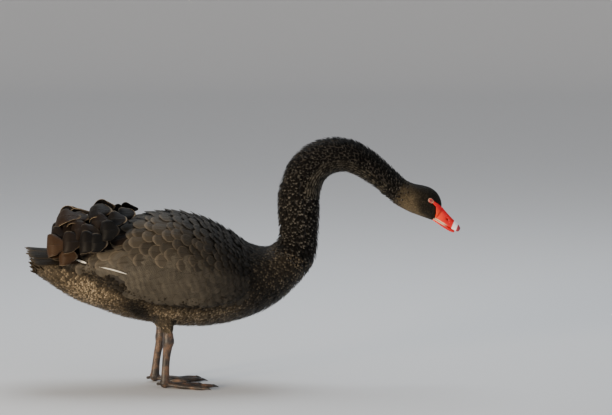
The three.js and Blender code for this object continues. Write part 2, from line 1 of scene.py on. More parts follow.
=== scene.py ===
# %% [markdown]
# # A black swan, standing with its bill lowered
#
# This notebook dresses a packed life-size model of a black swan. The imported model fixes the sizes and
# places. Here one smooth skin, a coat of small feathers, folded wings with curled tertials, a red bill
# and webbed feet are built over it. Lengths are written in millimetres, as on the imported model, and
# are multiplied by METRES_PER_MM where a mesh is made.

# %% Load the frame
import math

import bmesh
import bpy
import numpy as np
from mathutils import Matrix, Vector


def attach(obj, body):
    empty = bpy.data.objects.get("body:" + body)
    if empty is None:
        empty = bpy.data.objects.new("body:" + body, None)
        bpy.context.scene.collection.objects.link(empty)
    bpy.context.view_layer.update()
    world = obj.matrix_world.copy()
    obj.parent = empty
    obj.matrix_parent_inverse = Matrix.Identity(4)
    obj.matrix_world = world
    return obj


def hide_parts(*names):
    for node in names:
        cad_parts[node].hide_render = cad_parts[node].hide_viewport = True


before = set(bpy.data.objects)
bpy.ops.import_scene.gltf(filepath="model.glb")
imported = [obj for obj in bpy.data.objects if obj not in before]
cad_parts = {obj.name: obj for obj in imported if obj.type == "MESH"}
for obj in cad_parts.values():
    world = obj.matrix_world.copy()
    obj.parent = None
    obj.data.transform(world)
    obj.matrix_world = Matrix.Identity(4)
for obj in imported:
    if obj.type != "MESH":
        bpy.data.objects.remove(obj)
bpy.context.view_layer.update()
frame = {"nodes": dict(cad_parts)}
random = np.random.default_rng(11)
METRES_PER_MM = 0.001
SIDES = {"right": -1, "left": 1}  # signs of y
print("nodes in the frame:", len(frame["nodes"]))


def link(data, name):
    made = bpy.data.objects.new(name, data)
    bpy.context.scene.collection.objects.link(made)
    return made


# %% [markdown]
# ## The camera
#
# The photograph looks at the swan's right side from a little above its back, from far away. A long
# lens eight metres off gives the same flat perspective, and the picture's width at the swan's middle
# plane sets the lens.

# %% Camera
VIEW_CENTRE = Vector((0.144, 0.0, 0.403))
VIEW_WIDTH = 1.377
VIEW_DISTANCE = 8.0
VIEW_RISE = math.radians(6)
SENSOR = 36.0

camera_data = bpy.data.cameras.new("camera")
camera_data.sensor_width = SENSOR
camera_data.lens = SENSOR * VIEW_DISTANCE / VIEW_WIDTH
camera = link(camera_data, "camera")
towards_camera = Vector((0, -math.cos(VIEW_RISE), math.sin(VIEW_RISE)))
camera.location = VIEW_CENTRE + towards_camera * VIEW_DISTANCE
camera.rotation_euler = (math.pi / 2 - VIEW_RISE, 0, 0)
bpy.context.scene.camera = camera
print("lens", round(camera_data.lens, 1), "mm")


# %% [markdown]
# ## Floor and light
#
# A pale floor that curves up into a backdrop keeps the horizon out of the picture. The plumage is
# nearly black, so its feathers show only by their edges and their sheen. A warm key light, low and
# behind the swan's right shoulder, rakes along the body from the tail and leaves the breast and the
# bill's ridge in shade. A broad cool light overhead picks out the back.

# %% Floor and lights
FLOOR_SIDE = 9.0
BACKDROP_HEIGHT = 5.0
BACKDROP_BEND = 1.6
BACKDROP_STEPS = 12
SWAN_MIDDLE = (0.0, 0.0, 0.3)
LOW_FLANK = (-0.2, 0.0, 0.22)
# name, place, target, size, power and colour
LIGHTS = [
    ("key", (-2.8, -3.1, 0.46), SWAN_MIDDLE, 0.9, 225, (1.0, 0.83, 0.60)),
    ("bounce", (-1.7, -1.7, 0.06), LOW_FLANK, 0.9, 26, (1.0, 0.80, 0.56)),
    ("overhead", (0.2, 1.2, 3.4), SWAN_MIDDLE, 2.6, 70, (0.84, 0.92, 1.0)),
    ("fill", (3.0, -3.2, 1.7), SWAN_MIDDLE, 2.4, 22, (0.95, 0.97, 1.0)),
]


def object_from(bm, name):
    mesh = bpy.data.meshes.new(name)
    bm.to_mesh(mesh)
    bm.free()
    mesh.polygons.foreach_set("use_smooth", [True] * len(mesh.polygons))
    return link(mesh, name)


def build_floor():
    bm = bmesh.new()
    bmesh.ops.create_grid(bm, x_segments=2, y_segments=2, size=FLOOR_SIDE)
    far_edge = [e for e in bm.edges if all(v.co.y > FLOOR_SIDE * 0.9 for v in e.verts)]
    spun = bmesh.ops.spin(
        bm, geom=far_edge, cent=(0, FLOOR_SIDE, BACKDROP_BEND), axis=(1, 0, 0), angle=math.pi / 2,
        steps=BACKDROP_STEPS, use_duplicate=False,
    )
    top_edge = [g for g in spun["geom_last"] if isinstance(g, bmesh.types.BMEdge)]
    raised = bmesh.ops.extrude_edge_only(bm, edges=top_edge)
    lifted = [g for g in raised["geom"] if isinstance(g, bmesh.types.BMVert)]
    bmesh.ops.translate(bm, verts=lifted, vec=(0, 0, BACKDROP_HEIGHT))
    return object_from(bm, "floor")


build_floor()
for name, place, target, size, power, colour in LIGHTS:
    lamp = bpy.data.lights.new(name, "AREA")
    lamp.shape = "DISK"
    lamp.size = size
    lamp.energy = power
    lamp.color = colour
    light = link(lamp, name)
    light.location = place
    light.rotation_euler = (Vector(target) - Vector(place)).to_track_quat("-Z", "Y").to_euler()

world = bpy.data.worlds.new("studio")
bpy.context.scene.world = world
world.use_nodes = True
sky = world.node_tree.nodes["Background"].inputs
sky["Color"].default_value = (0.86, 0.88, 0.92, 1)
sky["Strength"].default_value = 0.45


# %% [markdown]
# ## Materials from small node groups
#
# Every feather on the swan has the same build: a shaft, fine barbs that slant away from it, and a rim
# that wears paler. One node group makes that once, and each plumage material places it with its own
# colours. The group reads a UV map that runs across and along each vane, so the pattern follows the
# feather wherever it lies.
#
# Node trees soon grow long when each node and link is written out. The helper class Wire stands for one
# output of a node. Sums and products of wires read like formulas, and each still makes a node of its own
# that can be looked at in the shader editor.

# %% Helpers for nodes
def put(tree, kind, **settings):
    made = tree.nodes.new(kind)
    for name, value in settings.items():
        setattr(made, name, value)
    return made


def feed(socket, value):
    """Links a wire to a socket, or sets its constant. Colours are written without alpha."""
    if isinstance(value, Wire):
        socket.id_data.links.new(value.socket, socket)
    elif socket.type == "RGBA":
        socket.default_value = (*value, 1.0)
    else:
        socket.default_value = value


def fill(sockets, values):
    for name, value in values.items():
        feed(sockets[name], value)


class Wire:
    """One output of a node, so that arithmetic on it can be written as a formula."""

    def __init__(self, node, output=0):
        self.tree = node.id_data
        self.socket = node.outputs[output]

    def into(self, kind, *operands, **settings):
        """A new node whose first inputs are this wire and the operands."""
        node = put(self.tree, kind, **settings)
        for socket, value in zip(node.inputs, (self, *operands)):
            feed(socket, value)
        return node

    def maths(self, operation, *operands):
        return Wire(self.into("ShaderNodeMath", *operands, operation=operation))

    def __add__(self, other):
        return self.maths("ADD", other)

    def __sub__(self, other):
        return self.maths("SUBTRACT", other)

    def __mul__(self, other):
        return self.maths("MULTIPLY", other)

    def __truediv__(self, other):
        return self.maths("DIVIDE", other)

    def ramp(self, low, high, to_low=0.0, to_high=1.0):
        """Eases from to_low to to_high while this wire goes from low to high."""
        limits = (low, high, to_low, to_high)
        return Wire(self.into("ShaderNodeMapRange", *limits, interpolation_type="SMOOTHSTEP"))

    def noise(self, scale, detail=3.0):
        node = self.into("ShaderNodeTexNoise")
        fill(node.inputs, {"Scale": scale, "Detail": detail})
        return Wire(node)

    def mix(self, first, second):
        """A blend of two colours in which this wire is the share of the second."""
        node = self.into("ShaderNodeMix", data_type="RGBA")
        feed(node.inputs[6], first)
        feed(node.inputs[7], second)
        return Wire(node, 2)

    def split(self, kind="ShaderNodeSeparateXYZ"):
        node = self.into(kind)
        return [Wire(node, part) for part in range(3)]


def object_position(tree):
    return Wire(put(tree, "ShaderNodeTexCoord"), "Object")


def relief(height, distance):
    """The normal of a surface that a wire of heights raises."""
    node = put(height.tree, "ShaderNodeBump")
    fill(node.inputs, {"Strength": 1.0, "Distance": distance, "Height": height})
    return Wire(node)


def new_material(name):
    material = bpy.data.materials.new(name)
    material.use_nodes = True
    tree = material.node_tree
    return material, tree, tree.nodes["Principled BSDF"].inputs


def mottled(name, scale, dark, light, roughness, depth=0.0):
    """Skin or horn that takes its colour and its relief from one noise."""
    material, tree, shader = new_material(name)
    tone = object_position(tree).noise(scale)
    fill(shader, {"Base Color": tone.mix(dark, light), "Roughness": roughness})
    if depth:
        feed(shader["Normal"], relief(tone, depth))
    return material


# %% The feather group
FEATHER_SOCKETS = [
    ("INPUT", "NodeSocketColor", ("Dark", "Brown", "Rim")),
    ("INPUT", "NodeSocketFloat", ("Rim Width", "Side Rim", "Barbs", "Barb Contrast", "Variation", "Streaks")),
    ("OUTPUT", "NodeSocketColor", ("Color",)),
    ("OUTPUT", "NodeSocketFloat", ("Roughness", "Height")),
]
MOTTLE_SCALE = 45.0
BARB_SLANT = 0.35
SHAFT_WIDTH = 0.07
STREAK_PITCH = 0.015  # upright streaks on the flank, in metres
STREAK_LEAN = 0.25
STREAK_WANDER = 20.0


def feather_group():
    tree = bpy.data.node_groups.new("feather barbs and rim", "ShaderNodeTree")
    for in_out, kind, labels in FEATHER_SOCKETS:
        for label in labels:
            tree.interface.new_socket(label, in_out=in_out, socket_type=kind)
    given = put(tree, "NodeGroupInput")
    marking = put(tree, "ShaderNodeAttribute", attribute_name="Marking")
    tone, pale, brown = Wire(marking, "Color").split("ShaderNodeSeparateColor")
    across, along, _ = Wire(put(tree, "ShaderNodeUVMap", uv_map="Vane")).split()
    across = (across * 2.0 - 1.0).maths("ABSOLUTE")

    start = Wire(given, "Rim Width") * -1.0 + 1.0
    side_rim = across.ramp(start, 1.0) * Wire(given, "Side Rim")
    tip_rim = along.ramp(start, 1.0)
    rim = side_rim.maths("MAXIMUM", tip_rim) * along.ramp(0.25, 0.6)
    stripe = ((along - across * BARB_SLANT) * Wire(given, "Barbs")).maths("SINE")
    shaft = across.ramp(0.0, SHAFT_WIDTH, 1.0, 0.0)

    position = object_position(tree)
    x, _, z = position.split()
    mottle = position.noise(MOTTLE_SCALE)
    wander = position.noise(14.0) * STREAK_WANDER
    patches = position.noise(32.0).ramp(0.44, 0.60, 0.2, 1.0)
    forward = (x + z * STREAK_LEAN) * (2 * math.pi / STREAK_PITCH)
    streak = (forward + wander).maths("SINE") * patches

    ground = brown.mix(Wire(given, "Dark"), Wire(given, "Brown"))
    edged = (rim * pale).mix(ground, Wire(given, "Rim"))
    shade = (tone - 0.5) * Wire(given, "Variation") + 1.0
    shade = shade * (mottle * 0.7 + 0.65)
    shade = shade * (stripe * Wire(given, "Barb Contrast") + 1.0)
    shade = shade * (streak * Wire(given, "Streaks") + 1.0)
    fill(put(tree, "NodeGroupOutput").inputs, {
        "Color": Wire(edged.into("ShaderNodeVectorMath", shade, operation="MULTIPLY")),
        "Roughness": mottle * 0.2 + 0.42,
        "Height": stripe * 0.5 + shaft * 2.0,
    })
    return tree


FEATHER = feather_group()
FEATHER_LOOKS = {"side_rim": 1.0, "barb_contrast": 0.12, "variation": 0.7, "streaks": 0.0}
FEATHER_RELIEF = 0.0003  # in metres


def plumage(name, gloss=0.14, **looks):
    """One tract's feathers. looks are inputs of the feather group: rim_width is Rim Width, and so on."""
    material, tree, shader = new_material(name)
    group = put(tree, "ShaderNodeGroup", node_tree=FEATHER)
    looks = FEATHER_LOOKS | looks
    fill(group.inputs, {key.replace("_", " ").title(): value for key, value in looks.items()})
    fill(shader, {
        "Base Color": Wire(group, "Color"),
        "Roughness": Wire(group, "Roughness"),
        "Normal": relief(Wire(group, "Height"), FEATHER_RELIEF),
        "Sheen Weight": 0.03,
        "Sheen Roughness": 0.4,
        "Specular IOR Level": gloss,
    })
    return material


# %% Plumage materials
NECK_PLUMAGE = plumage(
    "neck feathers", dark=(0.0018, 0.0017, 0.0016), brown=(0.018, 0.014, 0.010), rim=(0.170, 0.155, 0.130),
    rim_width=0.36, barbs=20.0, side_rim=0.1, gloss=0.07,
)
RIDGE_PLUMAGE = plumage(
    "ridged neck feathers", dark=(0.0020, 0.0018, 0.0016), brown=(0.020, 0.017, 0.012),
    rim=(0.120, 0.106, 0.082), rim_width=0.8, barbs=12.0, side_rim=0.0, gloss=0.07,
)
HEAD_PLUMAGE = plumage(
    "head feathers", dark=(0.0028, 0.0025, 0.0022), brown=(0.128, 0.098, 0.058), rim=(0.070, 0.056, 0.036),
    rim_width=0.5, barbs=16.0, variation=0.5, gloss=0.1,
)
BODY_PLUMAGE = plumage(
    "small body feathers", dark=(0.0040, 0.0034, 0.0028), brown=(0.066, 0.050, 0.031),
    rim=(0.340, 0.265, 0.172), rim_width=0.38, barbs=26.0, side_rim=0.2,
)
COVERT_PLUMAGE = plumage(
    "wing coverts", dark=(0.0045, 0.0041, 0.0040), brown=(0.050, 0.041, 0.029), rim=(0.115, 0.093, 0.067),
    rim_width=0.24, barbs=70.0, variation=0.6,
)
FLANK_PLUMAGE = plumage(
    "flank coverts", dark=(0.0046, 0.0043, 0.0042), brown=(0.044, 0.038, 0.029), rim=(0.082, 0.070, 0.053),
    rim_width=0.3, barbs=60.0, variation=0.4, side_rim=0.0, streaks=0.19,
)
CURL_PLUMAGE = plumage(
    "curled tertials", dark=(0.0022, 0.0019, 0.0018), brown=(0.040, 0.021, 0.010), rim=(0.34, 0.26, 0.17),
    rim_width=0.05, barbs=110.0, gloss=0.12,
)
TAIL_PLUMAGE = plumage(
    "tail feathers", dark=(0.0040, 0.0034, 0.0026), brown=(0.022, 0.016, 0.010), rim=(0.09, 0.070, 0.046),
    rim_width=0.2, barbs=120.0, gloss=0.1,
)
WHITE_PLUMAGE = plumage(
    "white flight feathers", dark=(0.80, 0.76, 0.68), brown=(0.80, 0.76, 0.68), rim=(0.85, 0.82, 0.76),
    rim_width=0.1, barbs=120.0, barb_contrast=0.03, variation=0.1,
)


# %% [markdown]
# ## The body's own shape
#
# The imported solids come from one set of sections. Each section joins a point of the back to a point of
# the belly in the middle plane, with a half width. The same rows are written here, so that the skin and
# every feather can be placed by two numbers: how far along the rows it is, and its angle round the
# section from the back line. Right is negative.

# %% Sections of the body
# back x, back z, belly x, belly z, half width, from tail to brow
BODY = np.array([
    [-464, 291, -461, 251, 34],
    [-428, 300, -432, 231, 54],
    [-382, 314, -385, 201, 68],
    [-335, 333, -335, 181, 82],
    [-274, 361, -274, 159, 96],
    [-207, 381, -207, 145, 104],
    [-140, 382, -140, 137, 108],
    [-76, 365, -76, 137, 107],
    [-22, 340, -9, 150, 101],
    [16, 322, 43, 168, 91],
    [45, 314, 94, 200, 76],
    [66, 317, 137, 244, 62],
    [80, 330, 164, 287, 52],
    [84, 352, 171, 334, 46.5],
    [81, 393, 174, 389, 44],
    [81, 431, 174, 422, 42.5],
    [89, 465, 179, 451, 40.5],
    [106, 505, 189, 469, 38.5],
    [133, 536, 204, 480, 37],
    [171, 556, 219, 484, 35.5],
    [216, 562, 234, 484, 34],
    [259, 552, 252, 478, 33],
    [295, 531, 272, 467, 31.5],
    [324, 506, 298, 450, 29.5],
    [349, 483, 323, 429, 28],
    [369, 465, 345, 411, 27.5],
    [387, 457, 360, 402, 28],
    [407, 453, 378, 393, 29.5],
    [425, 447, 396, 386, 29],
    [439, 436, 413, 380, 25.5],
    [447, 421, 424, 376, 20],
    [450, 405, 431, 374, 15.5],
], dtype=float)
FULLNESS = 0.92
# place along the body, upper and lower edge of the folded wing in degrees, thickness
WING = np.array([
    [1.6, 16, 66, 4],
    [2.2, 12, 76, 9],
    [3.0, 9, 86, 14],
    [4.0, 5, 107, 18],
    [5.0, 3, 120, 20],
    [6.0, 3, 122, 20],
    [7.0, 4, 120, 18],
    [8.0, 8, 114, 12],
    [8.8, 26, 96, 4],
], dtype=float)
WING_EDGE = 0.42  # under 1 makes the folded wing's edge steep
BROW = len(BODY) - 1


def curve_through(rows, place):
    place = np.atleast_1d(np.asarray(place, dtype=float))
    last = len(rows) - 1
    i = np.clip(np.floor(place).astype(int), 0, last - 1)
    f = np.clip(place - i, -0.5, 1.5)[..., None]
    before = rows[np.clip(i - 1, 0, last)]
    here = rows[i]
    after = rows[i + 1]
    beyond = rows[np.clip(i + 2, 0, last)]
    slope_in = (after - before) / 2
    slope_out = (beyond - here) / 2
    rise = after - here
    square = 3 * rise - 2 * slope_in - slope_out
    cube = slope_in + slope_out - 2 * rise
    return here + f * (slope_in + f * (square + f * cube))


def wing_lift(place, angle):
    """How far the folded wing stands off the body there, in millimetres."""
    place = np.asarray(place, dtype=float)
    top = np.interp(place, WING[:, 0], WING[:, 1])
    bottom = np.interp(place, WING[:, 0], WING[:, 2])
    thick = np.interp(place, WING[:, 0], WING[:, 3], left=0, right=0)
    share = np.clip((np.abs(angle) - top) / (bottom - top), 0, 1)
    return thick * np.sin(np.pi * share) ** WING_EDGE


def on_section(rows, place, angle, lift, fullness=FULLNESS):
    """Points in millimetres at places and angles on a body that runs through section rows."""
    place, angle, lift = np.broadcast_arrays(place, angle, lift)
    row = curve_through(rows, place)
    back = row[..., 0:2]
    belly = row[..., 2:4]
    half = row[..., 4]
    middle = (back + belly) / 2
    up = back - belly
    length = np.linalg.norm(up, axis=-1)
    up = up / length[..., None]
    turn = np.radians(angle)
    c = np.cos(turn)
    s = np.sin(turn)
    height = np.sign(c) * np.abs(c) ** fullness * (length / 2 + lift)
    width = np.sign(s) * np.abs(s) ** fullness * (half + lift)
    return np.stack(
        [middle[..., 0] + up[..., 0] * height, width, middle[..., 1] + up[..., 1] * height], axis=-1
    )


def body_point(place, angle, lift=0.0):
    return on_section(BODY, place, angle, lift)


def winged_point(place, angle, lift=0.0):
    return on_section(BODY, place, angle, wing_lift(place, angle) + lift)


# %% [markdown]
# ## A loft from one grid
#
# Skin, bill, legs and toes are all tubes of changing section. A flat grid from `create_grid` is bent
# into the tube: its first direction becomes the place along it, its second the angle round it. The two
# edges that meet are merged, and the ends are closed.

# %% Loft helper
def bent_grid(point, rings, sides):
    """A bmesh grid: point(u, v) gives millimetres for u and v from 0 to 1."""
    bm = bmesh.new()
    bmesh.ops.create_grid(bm, x_segments=rings, y_segments=sides, size=1.0)
    flat = np.array([v.co[:2] for v in bm.verts])
    shaped = point((flat[:, 0] + 1) / 2, (flat[:, 1] + 1) / 2) * METRES_PER_MM
    for vertex, place in zip(bm.verts, shaped):
        vertex.co = place
    return bm


def loft(point, rings, sides, closed_ends=True):
    """A tube: u runs along it and v round it."""
    bm = bent_grid(point, rings, sides)
    bmesh.ops.remove_doubles(bm, verts=bm.verts, dist=1e-6)
    if closed_ends:
        bmesh.ops.holes_fill(bm, edges=[e for e in bm.edges if e.is_boundary], sides=0)
    bmesh.ops.recalc_face_normals(bm, faces=bm.faces)
    return bm


def joined(name, parts):
    """One object from several bmeshes."""
    whole = bmesh.new()
    for part in parts:
        mesh = bpy.data.meshes.new("part")
        part.to_mesh(mesh)
        part.free()
        whole.from_mesh(mesh)
        bpy.data.meshes.remove(mesh)
    return object_from(whole, name)


def fuse(obj, voxel, smooth_times):
    """Voxel remesh joins overlapping forms into one skin, then smoothing takes the steps out."""
    remesh = obj.modifiers.new("fuse", "REMESH")
    remesh.mode = "VOXEL"
    remesh.voxel_size = voxel * METRES_PER_MM
    smooth = obj.modifiers.new("relax", "SMOOTH")
    smooth.factor = 0.5
    smooth.iterations = smooth_times
    evaluated = obj.evaluated_get(bpy.context.evaluated_depsgraph_get())
    mesh = bpy.data.meshes.new_from_object(evaluated)
    obj.modifiers.clear()
    rough = obj.data
    obj.data = mesh
    mesh.name = obj.name
    bpy.data.meshes.remove(rough)
    mesh.polygons.foreach_set("use_smooth", [True] * len(mesh.polygons))
    return obj


def dress(obj, material, slot, *replaced):
    obj.data.materials.clear()
    obj.data.materials.append(material)
    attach(obj, "root")
    if replaced:
        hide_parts(*replaced)
    print(obj.name, len(obj.data.polygons), "faces")


# %% [markdown]
# ## One skin
#
# Under its feathers the swan is one closed body. The skin follows the sections a few millimetres under
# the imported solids, swells under each folded wing, and runs down over the thighs. It is fused by a voxel
# remesh, so that no seam shows between neck, torso and legs.

# %% Skin
TAIL_CAP = 0.28  # how far the rounded end behind the tail's first section runs, in places
TAIL_CAP_LENGTH = 46.0
TAIL_CAP_TAPER = 1.9
SKIN_VOXEL = 4.0
THIGH_SUNK = 2.5
FOOT_SPREAD = 50.0
LEGS = {
    "right": {"side": -1, "thigh": -186.0, "knee": -166.0, "ankle": -168.0, "heel": -173.0},
    "left": {"side": 1, "thigh": -200.0, "knee": -186.0, "ankle": -189.0, "heel": -200.0},
}


def coat_depth(place):
    """Depth of the coat in millimetres: deep on the body, thin on neck and head."""
    return np.interp(place, [0, 2, 9, 13, 24, 27, BROW], [6, 6, 5, 3.4, 2.6, 1.6, 1.2])


def skin_point(u, v):
    place = u * (BROW + TAIL_CAP) - TAIL_CAP
    angle = v * 360 - 180
    on_body = np.maximum(place, 0)
    shell = on_section(BODY, on_body, angle, wing_lift(place, angle) - coat_depth(place))
    middle = (body_point(on_body, 0.0) + body_point(on_body, 180.0)) / 2
    shrink = np.where(place < 0, 1 + TAIL_CAP_TAPER * place, 1.0)
    made = middle + (shell - middle) * np.maximum(shrink, 0.02)[..., None]
    made[..., 0] += np.minimum(place, 0) * TAIL_CAP_LENGTH
    return made


def limb_section(rows, place, turn, lift):
    """Level ellipses through rows of x, y, z, half depth, half width, at places from 0 to 1."""
    place, turn, lift = np.broadcast_arrays(place, turn, lift)
    row = curve_through(np.array(rows, dtype=float), place * (len(rows) - 1))
    x = row[..., 0] + (row[..., 3] + lift) * np.cos(turn)
    y = row[..., 1] + (row[..., 4] + lift) * np.sin(turn)
    return np.stack([x, y, row[..., 2]], axis=-1)


def limb_point(rows, lift=0.0):
    return lambda u, v: limb_section(rows, u, 2 * np.pi * v, lift)


def thigh_rows(leg):
    y = leg["side"] * FOOT_SPREAD
    return [
        [leg["thigh"] - 4, y * 0.9, 215, 44, 34],
        [leg["thigh"] + 2, y * 0.92, 182, 38, 31],
        [leg["thigh"] * 0.4 + leg["knee"] * 0.6, y * 0.97, 152, 24, 21],
        [leg["knee"] - 1, y, 131, 13, 12],
        [leg["knee"], y, 124, 9, 8],
    ]


def build_skin():
    body = loft(skin_point, 200, 60)
    thighs = [loft(limb_point(thigh_rows(leg), -THIGH_SUNK), 24, 24) for leg in LEGS.values()]
    return fuse(joined("skin", [body, *thighs]), SKIN_VOXEL, 4)


dress(
    build_skin(),
    mottled("skin under the coat", 60.0, (0.006, 0.005, 0.004), (0.02, 0.016, 0.012), 0.9),
    "plumage",
    "torso", "tail", "neck_base", "neck_rise", "neck_arch", "neck_fall", "head", "thigh_right", "thigh_left",
)


# %% [markdown]
# ## How a feather is laid
#
# One flat grid is the pattern for a whole tract. Each copy is bent in numpy: its length runs towards the
# tail, its width runs round the body, its root is sunk in the skin and its tip stands clear, so that it
# covers the roots of the row behind. Copies are joined in one mesh. Each carries three numbers for its
# material: its own tone, how pale its rim is, and how brown the tract is there.

# %% Feather tools
def vane_pattern(across, along):
    bm = bmesh.new()
    bmesh.ops.create_grid(bm, x_segments=across, y_segments=along, size=1.0)
    flat = np.array([v.co[:2] for v in bm.verts])
    faces = np.array([[v.index for v in f.verts] for f in bm.faces])
    bm.free()
    return flat[:, 0], (flat[:, 1] + 1) / 2, faces


SMALL_VANE = vane_pattern(2, 4)
COVERT_VANE = vane_pattern(6, 8)
LONG_VANE = vane_pattern(8, 18)
BAKE_PATCH = 0.003
BODY_ARC_STEPS = 400
SLOWEST = 12.0  # least millimetres to a place, where rows crowd on the neck's inner bend


def arc_table():
    places = np.linspace(-0.3, BROW, BODY_ARC_STEPS)
    points = body_point(places, 90.0)
    steps = np.linalg.norm(np.diff(points, axis=0), axis=1)
    return places, np.concatenate([[0], np.cumsum(steps)])


ARC_PLACES, ARC = arc_table()


def outline(u, tip):
    """Half width along a vane, as a share of its widest. A larger tip makes a blunter end."""
    return np.interp(u, [0, 0.25, 0.6, 0.85, 1.0], [0.35, 0.85, 1.0, 0.72 + 0.3 * tip, tip])


def feather_mesh(name, points, pattern, marks, bake_at, thickness):
    """Joins all copies of a pattern: points is copies x corners x 3, in millimetres."""
    v, u, faces = pattern
    copies, corners = points.shape[:2]
    all_faces = (faces[None] + (np.arange(copies) * corners)[:, None, None]).reshape(-1, faces.shape[1])
    mesh = bpy.data.meshes.new(name)
    mesh.vertices.add(copies * corners)
    mesh.vertices.foreach_set("co", (points * METRES_PER_MM).reshape(-1).astype(np.float32))
    mesh.loops.add(all_faces.size)
    mesh.loops.foreach_set("vertex_index", all_faces.reshape(-1).astype(np.int32))
    mesh.polygons.add(len(all_faces))
    mesh.polygons.foreach_set("loop_start", np.arange(len(all_faces), dtype=np.int32) * faces.shape[1])
    mesh.update(calc_edges=True)
    mesh.polygons.foreach_set("use_smooth", np.ones(len(all_faces), dtype=bool))
    corner = all_faces.reshape(-1)
    bake = bake_at[:, None, :] + np.stack([v, u], axis=-1)[None] * [BAKE_PATCH / 2, BAKE_PATCH]
    own = np.broadcast_to(np.stack([(v + 1) / 2, u], axis=-1)[None], (copies, corners, 2))
    for label, source in (("OFBake", bake), ("Vane", own)):
        layer = mesh.uv_layers.new(name=label)
        layer.data.foreach_set("uv", source.reshape(-1, 2)[corner].reshape(-1).astype(np.float32))
    marking = mesh.color_attributes.new("Marking", "FLOAT_COLOR", "POINT")
    colours = np.concatenate([marks, np.ones((copies, 1))], axis=1)
    spread = np.repeat(colours[:, None, :], corners, axis=1)
    marking.data.foreach_set("color", spread.reshape(-1).astype(np.float32))
    made = link(mesh, name)
    if thickness:
        wall = made.modifiers.new("vane thickness", "SOLIDIFY")
        wall.thickness = thickness * METRES_PER_MM
        wall.offset = -1
    return made


def bake_place(place, angle):
    along = np.interp(place, ARC_PLACES, ARC) / ARC[-1]
    return np.stack([0.02 + 0.95 * along, 0.02 + 0.95 * (angle + 180) / 360], axis=-1)


def lay(name, surface, roots, pattern, tip=0.3, round_off=0.13, frizz=0.0, thickness=0.0):
    """Lays one feather at each root. roots holds arrays or numbers, in millimetres and degrees."""
    v, u, _ = pattern
    count = len(roots["place"])
    column = {key: np.broadcast_to(np.asarray(value, dtype=float), count) for key, value in roots.items()}
    marks = np.stack([column["tone"], column["pale"], column["brown"]], axis=-1)
    bake_at = bake_place(column["place"], column["angle"])
    column = {key: value[:, None] for key, value in column.items()}
    place, angle = column["place"], column["angle"]
    side = np.where(angle < 0, -1.0, 1.0)
    nudge_along, nudge_around = 0.1, 3.0
    ahead = surface(place + nudge_along, angle)
    behind = surface(place - nudge_along, angle)
    along_speed = np.linalg.norm(ahead - behind, axis=-1) / (2 * nudge_along)
    left = surface(place, angle + nudge_around)
    right = surface(place, angle - nudge_around)
    around_speed = np.linalg.norm(left - right, axis=-1) / (2 * nudge_around)
    along = u * column["length"] * (1 - round_off * v**2 * u**2)
    across = v * column["half"] * outline(u, tip)
    turn = np.radians(column["turn"])
    back = along * np.cos(turn) - across * np.sin(turn)
    away = along * np.sin(turn) + across * np.cos(turn)
    at_place = place - back / np.maximum(along_speed, SLOWEST)
    at_angle = angle + side * away / around_speed
    rise = column["low"] + (column["high"] - column["low"]) * u**0.85
    lift = rise - column["cup"] * v**2 * column["half"] * np.sqrt(u)
    lift = lift + frizz * np.sin(9 * v + 7 * angle + 5 * place) * u**2
    points = surface(at_place, at_angle, lift)
    return feather_mesh(name, points, pattern, marks, bake_at, thickness)


def girth(surface, place, angles, samples):
    """Length in millimetres of the line round a surface at one place, between two angles."""
    rim = surface(np.full(samples, place), np.linspace(*angles, samples))
    return np.linalg.norm(np.diff(rim, axis=0), axis=1).sum()


def rows_of_roots(zone, steps, stagger):
    """Evenly spaced roots on both sides, in rows from front to tail. A zone is two places and two angles."""
    start, end = np.interp(zone[:2], ARC_PLACES, ARC)
    angle_from, angle_to = zone[2:]
    places, angles = [], []
    for k, arc in enumerate(np.arange(start, end, steps[0])):
        place = np.interp(arc, ARC, ARC_PLACES)
        count = max(2, round(girth(body_point, place, zone[2:], 60) / steps[1]))
        shift = 0.5 * (k % 2) if stagger else 0.25
        angle = angle_from + (np.arange(count) + shift + 0.25) / count * (angle_to - angle_from)
        places += [np.full(count, place)] * 2
        angles += [-angle, angle]
    return np.concatenate(places), np.concatenate(angles)


# %% [markdown]
# ## The coat of small feathers
#
# Head, neck, breast, belly and rump each have their own length and spacing, smallest at the brow. On
# the inside of the neck's bend the rows crowd together, as they do on the living bird. The black parts
# of the coat turn browner on the cheeks, the belly and under the tail, where tips are paler. Part of
# this is painted light: cheek, underside and vent are made brighter where the low key light falls, and
# the top, the breast's side, the band under the wing and the hollow before the thigh carry painted
# shade. Colour is worked out here for each feather from its place on the body, and reaches the material
# as an attribute, so that one material can serve a whole tract.

# %% Where the coat is brown
# front edge of the brown cheek in the side view, x and z
CHEEK_FRONT = np.array([(412, 375), (402, 387), (393, 397), (390, 412), (392, 440), (378, 458)], dtype=float)
# places on the body, and the share of brown or the strength of pale tips at each. Both are partly
# painted light: the rise round places 2 to 5 brightens the lit vent, and the dip near place 9 is
# painted shade on the breast's side in front of the wing
BROWN_ALONG = (
    [0, 2, 3, 5, 6.5, 7.8, 9.2, 10.5, 15, 24, 25.5],
    [0.5, 0.7, 1.0, 1.4, 1.0, 0.5, 0.06, 0.2, 0.2, 0.15, 0.5],
)
PALE_ALONG = (
    [0, 1.6, 2.4, 3.2, 4.2, 5.5, 7.5, 9, 11, 13, 16, 18, 21, 23, 25],
    [0.3, 0.45, 1.3, 1.8, 1.1, 1.3, 0.9, 0.2, 0.5, 1.0, 1.0, 0.75, 0.45, 0.65, 0.9],
)
# pale tips by degrees from the back line: fewer on top and more below, partly painted shade and light
PALE_AROUND = ([0, 60, 130, 180], [0.35, 0.7, 1.0, 1.0])


def smooth_step(value, low, high):
    share = np.clip((value - low) / (high - low), 0, 1)
    return share * share * (3 - 2 * share)


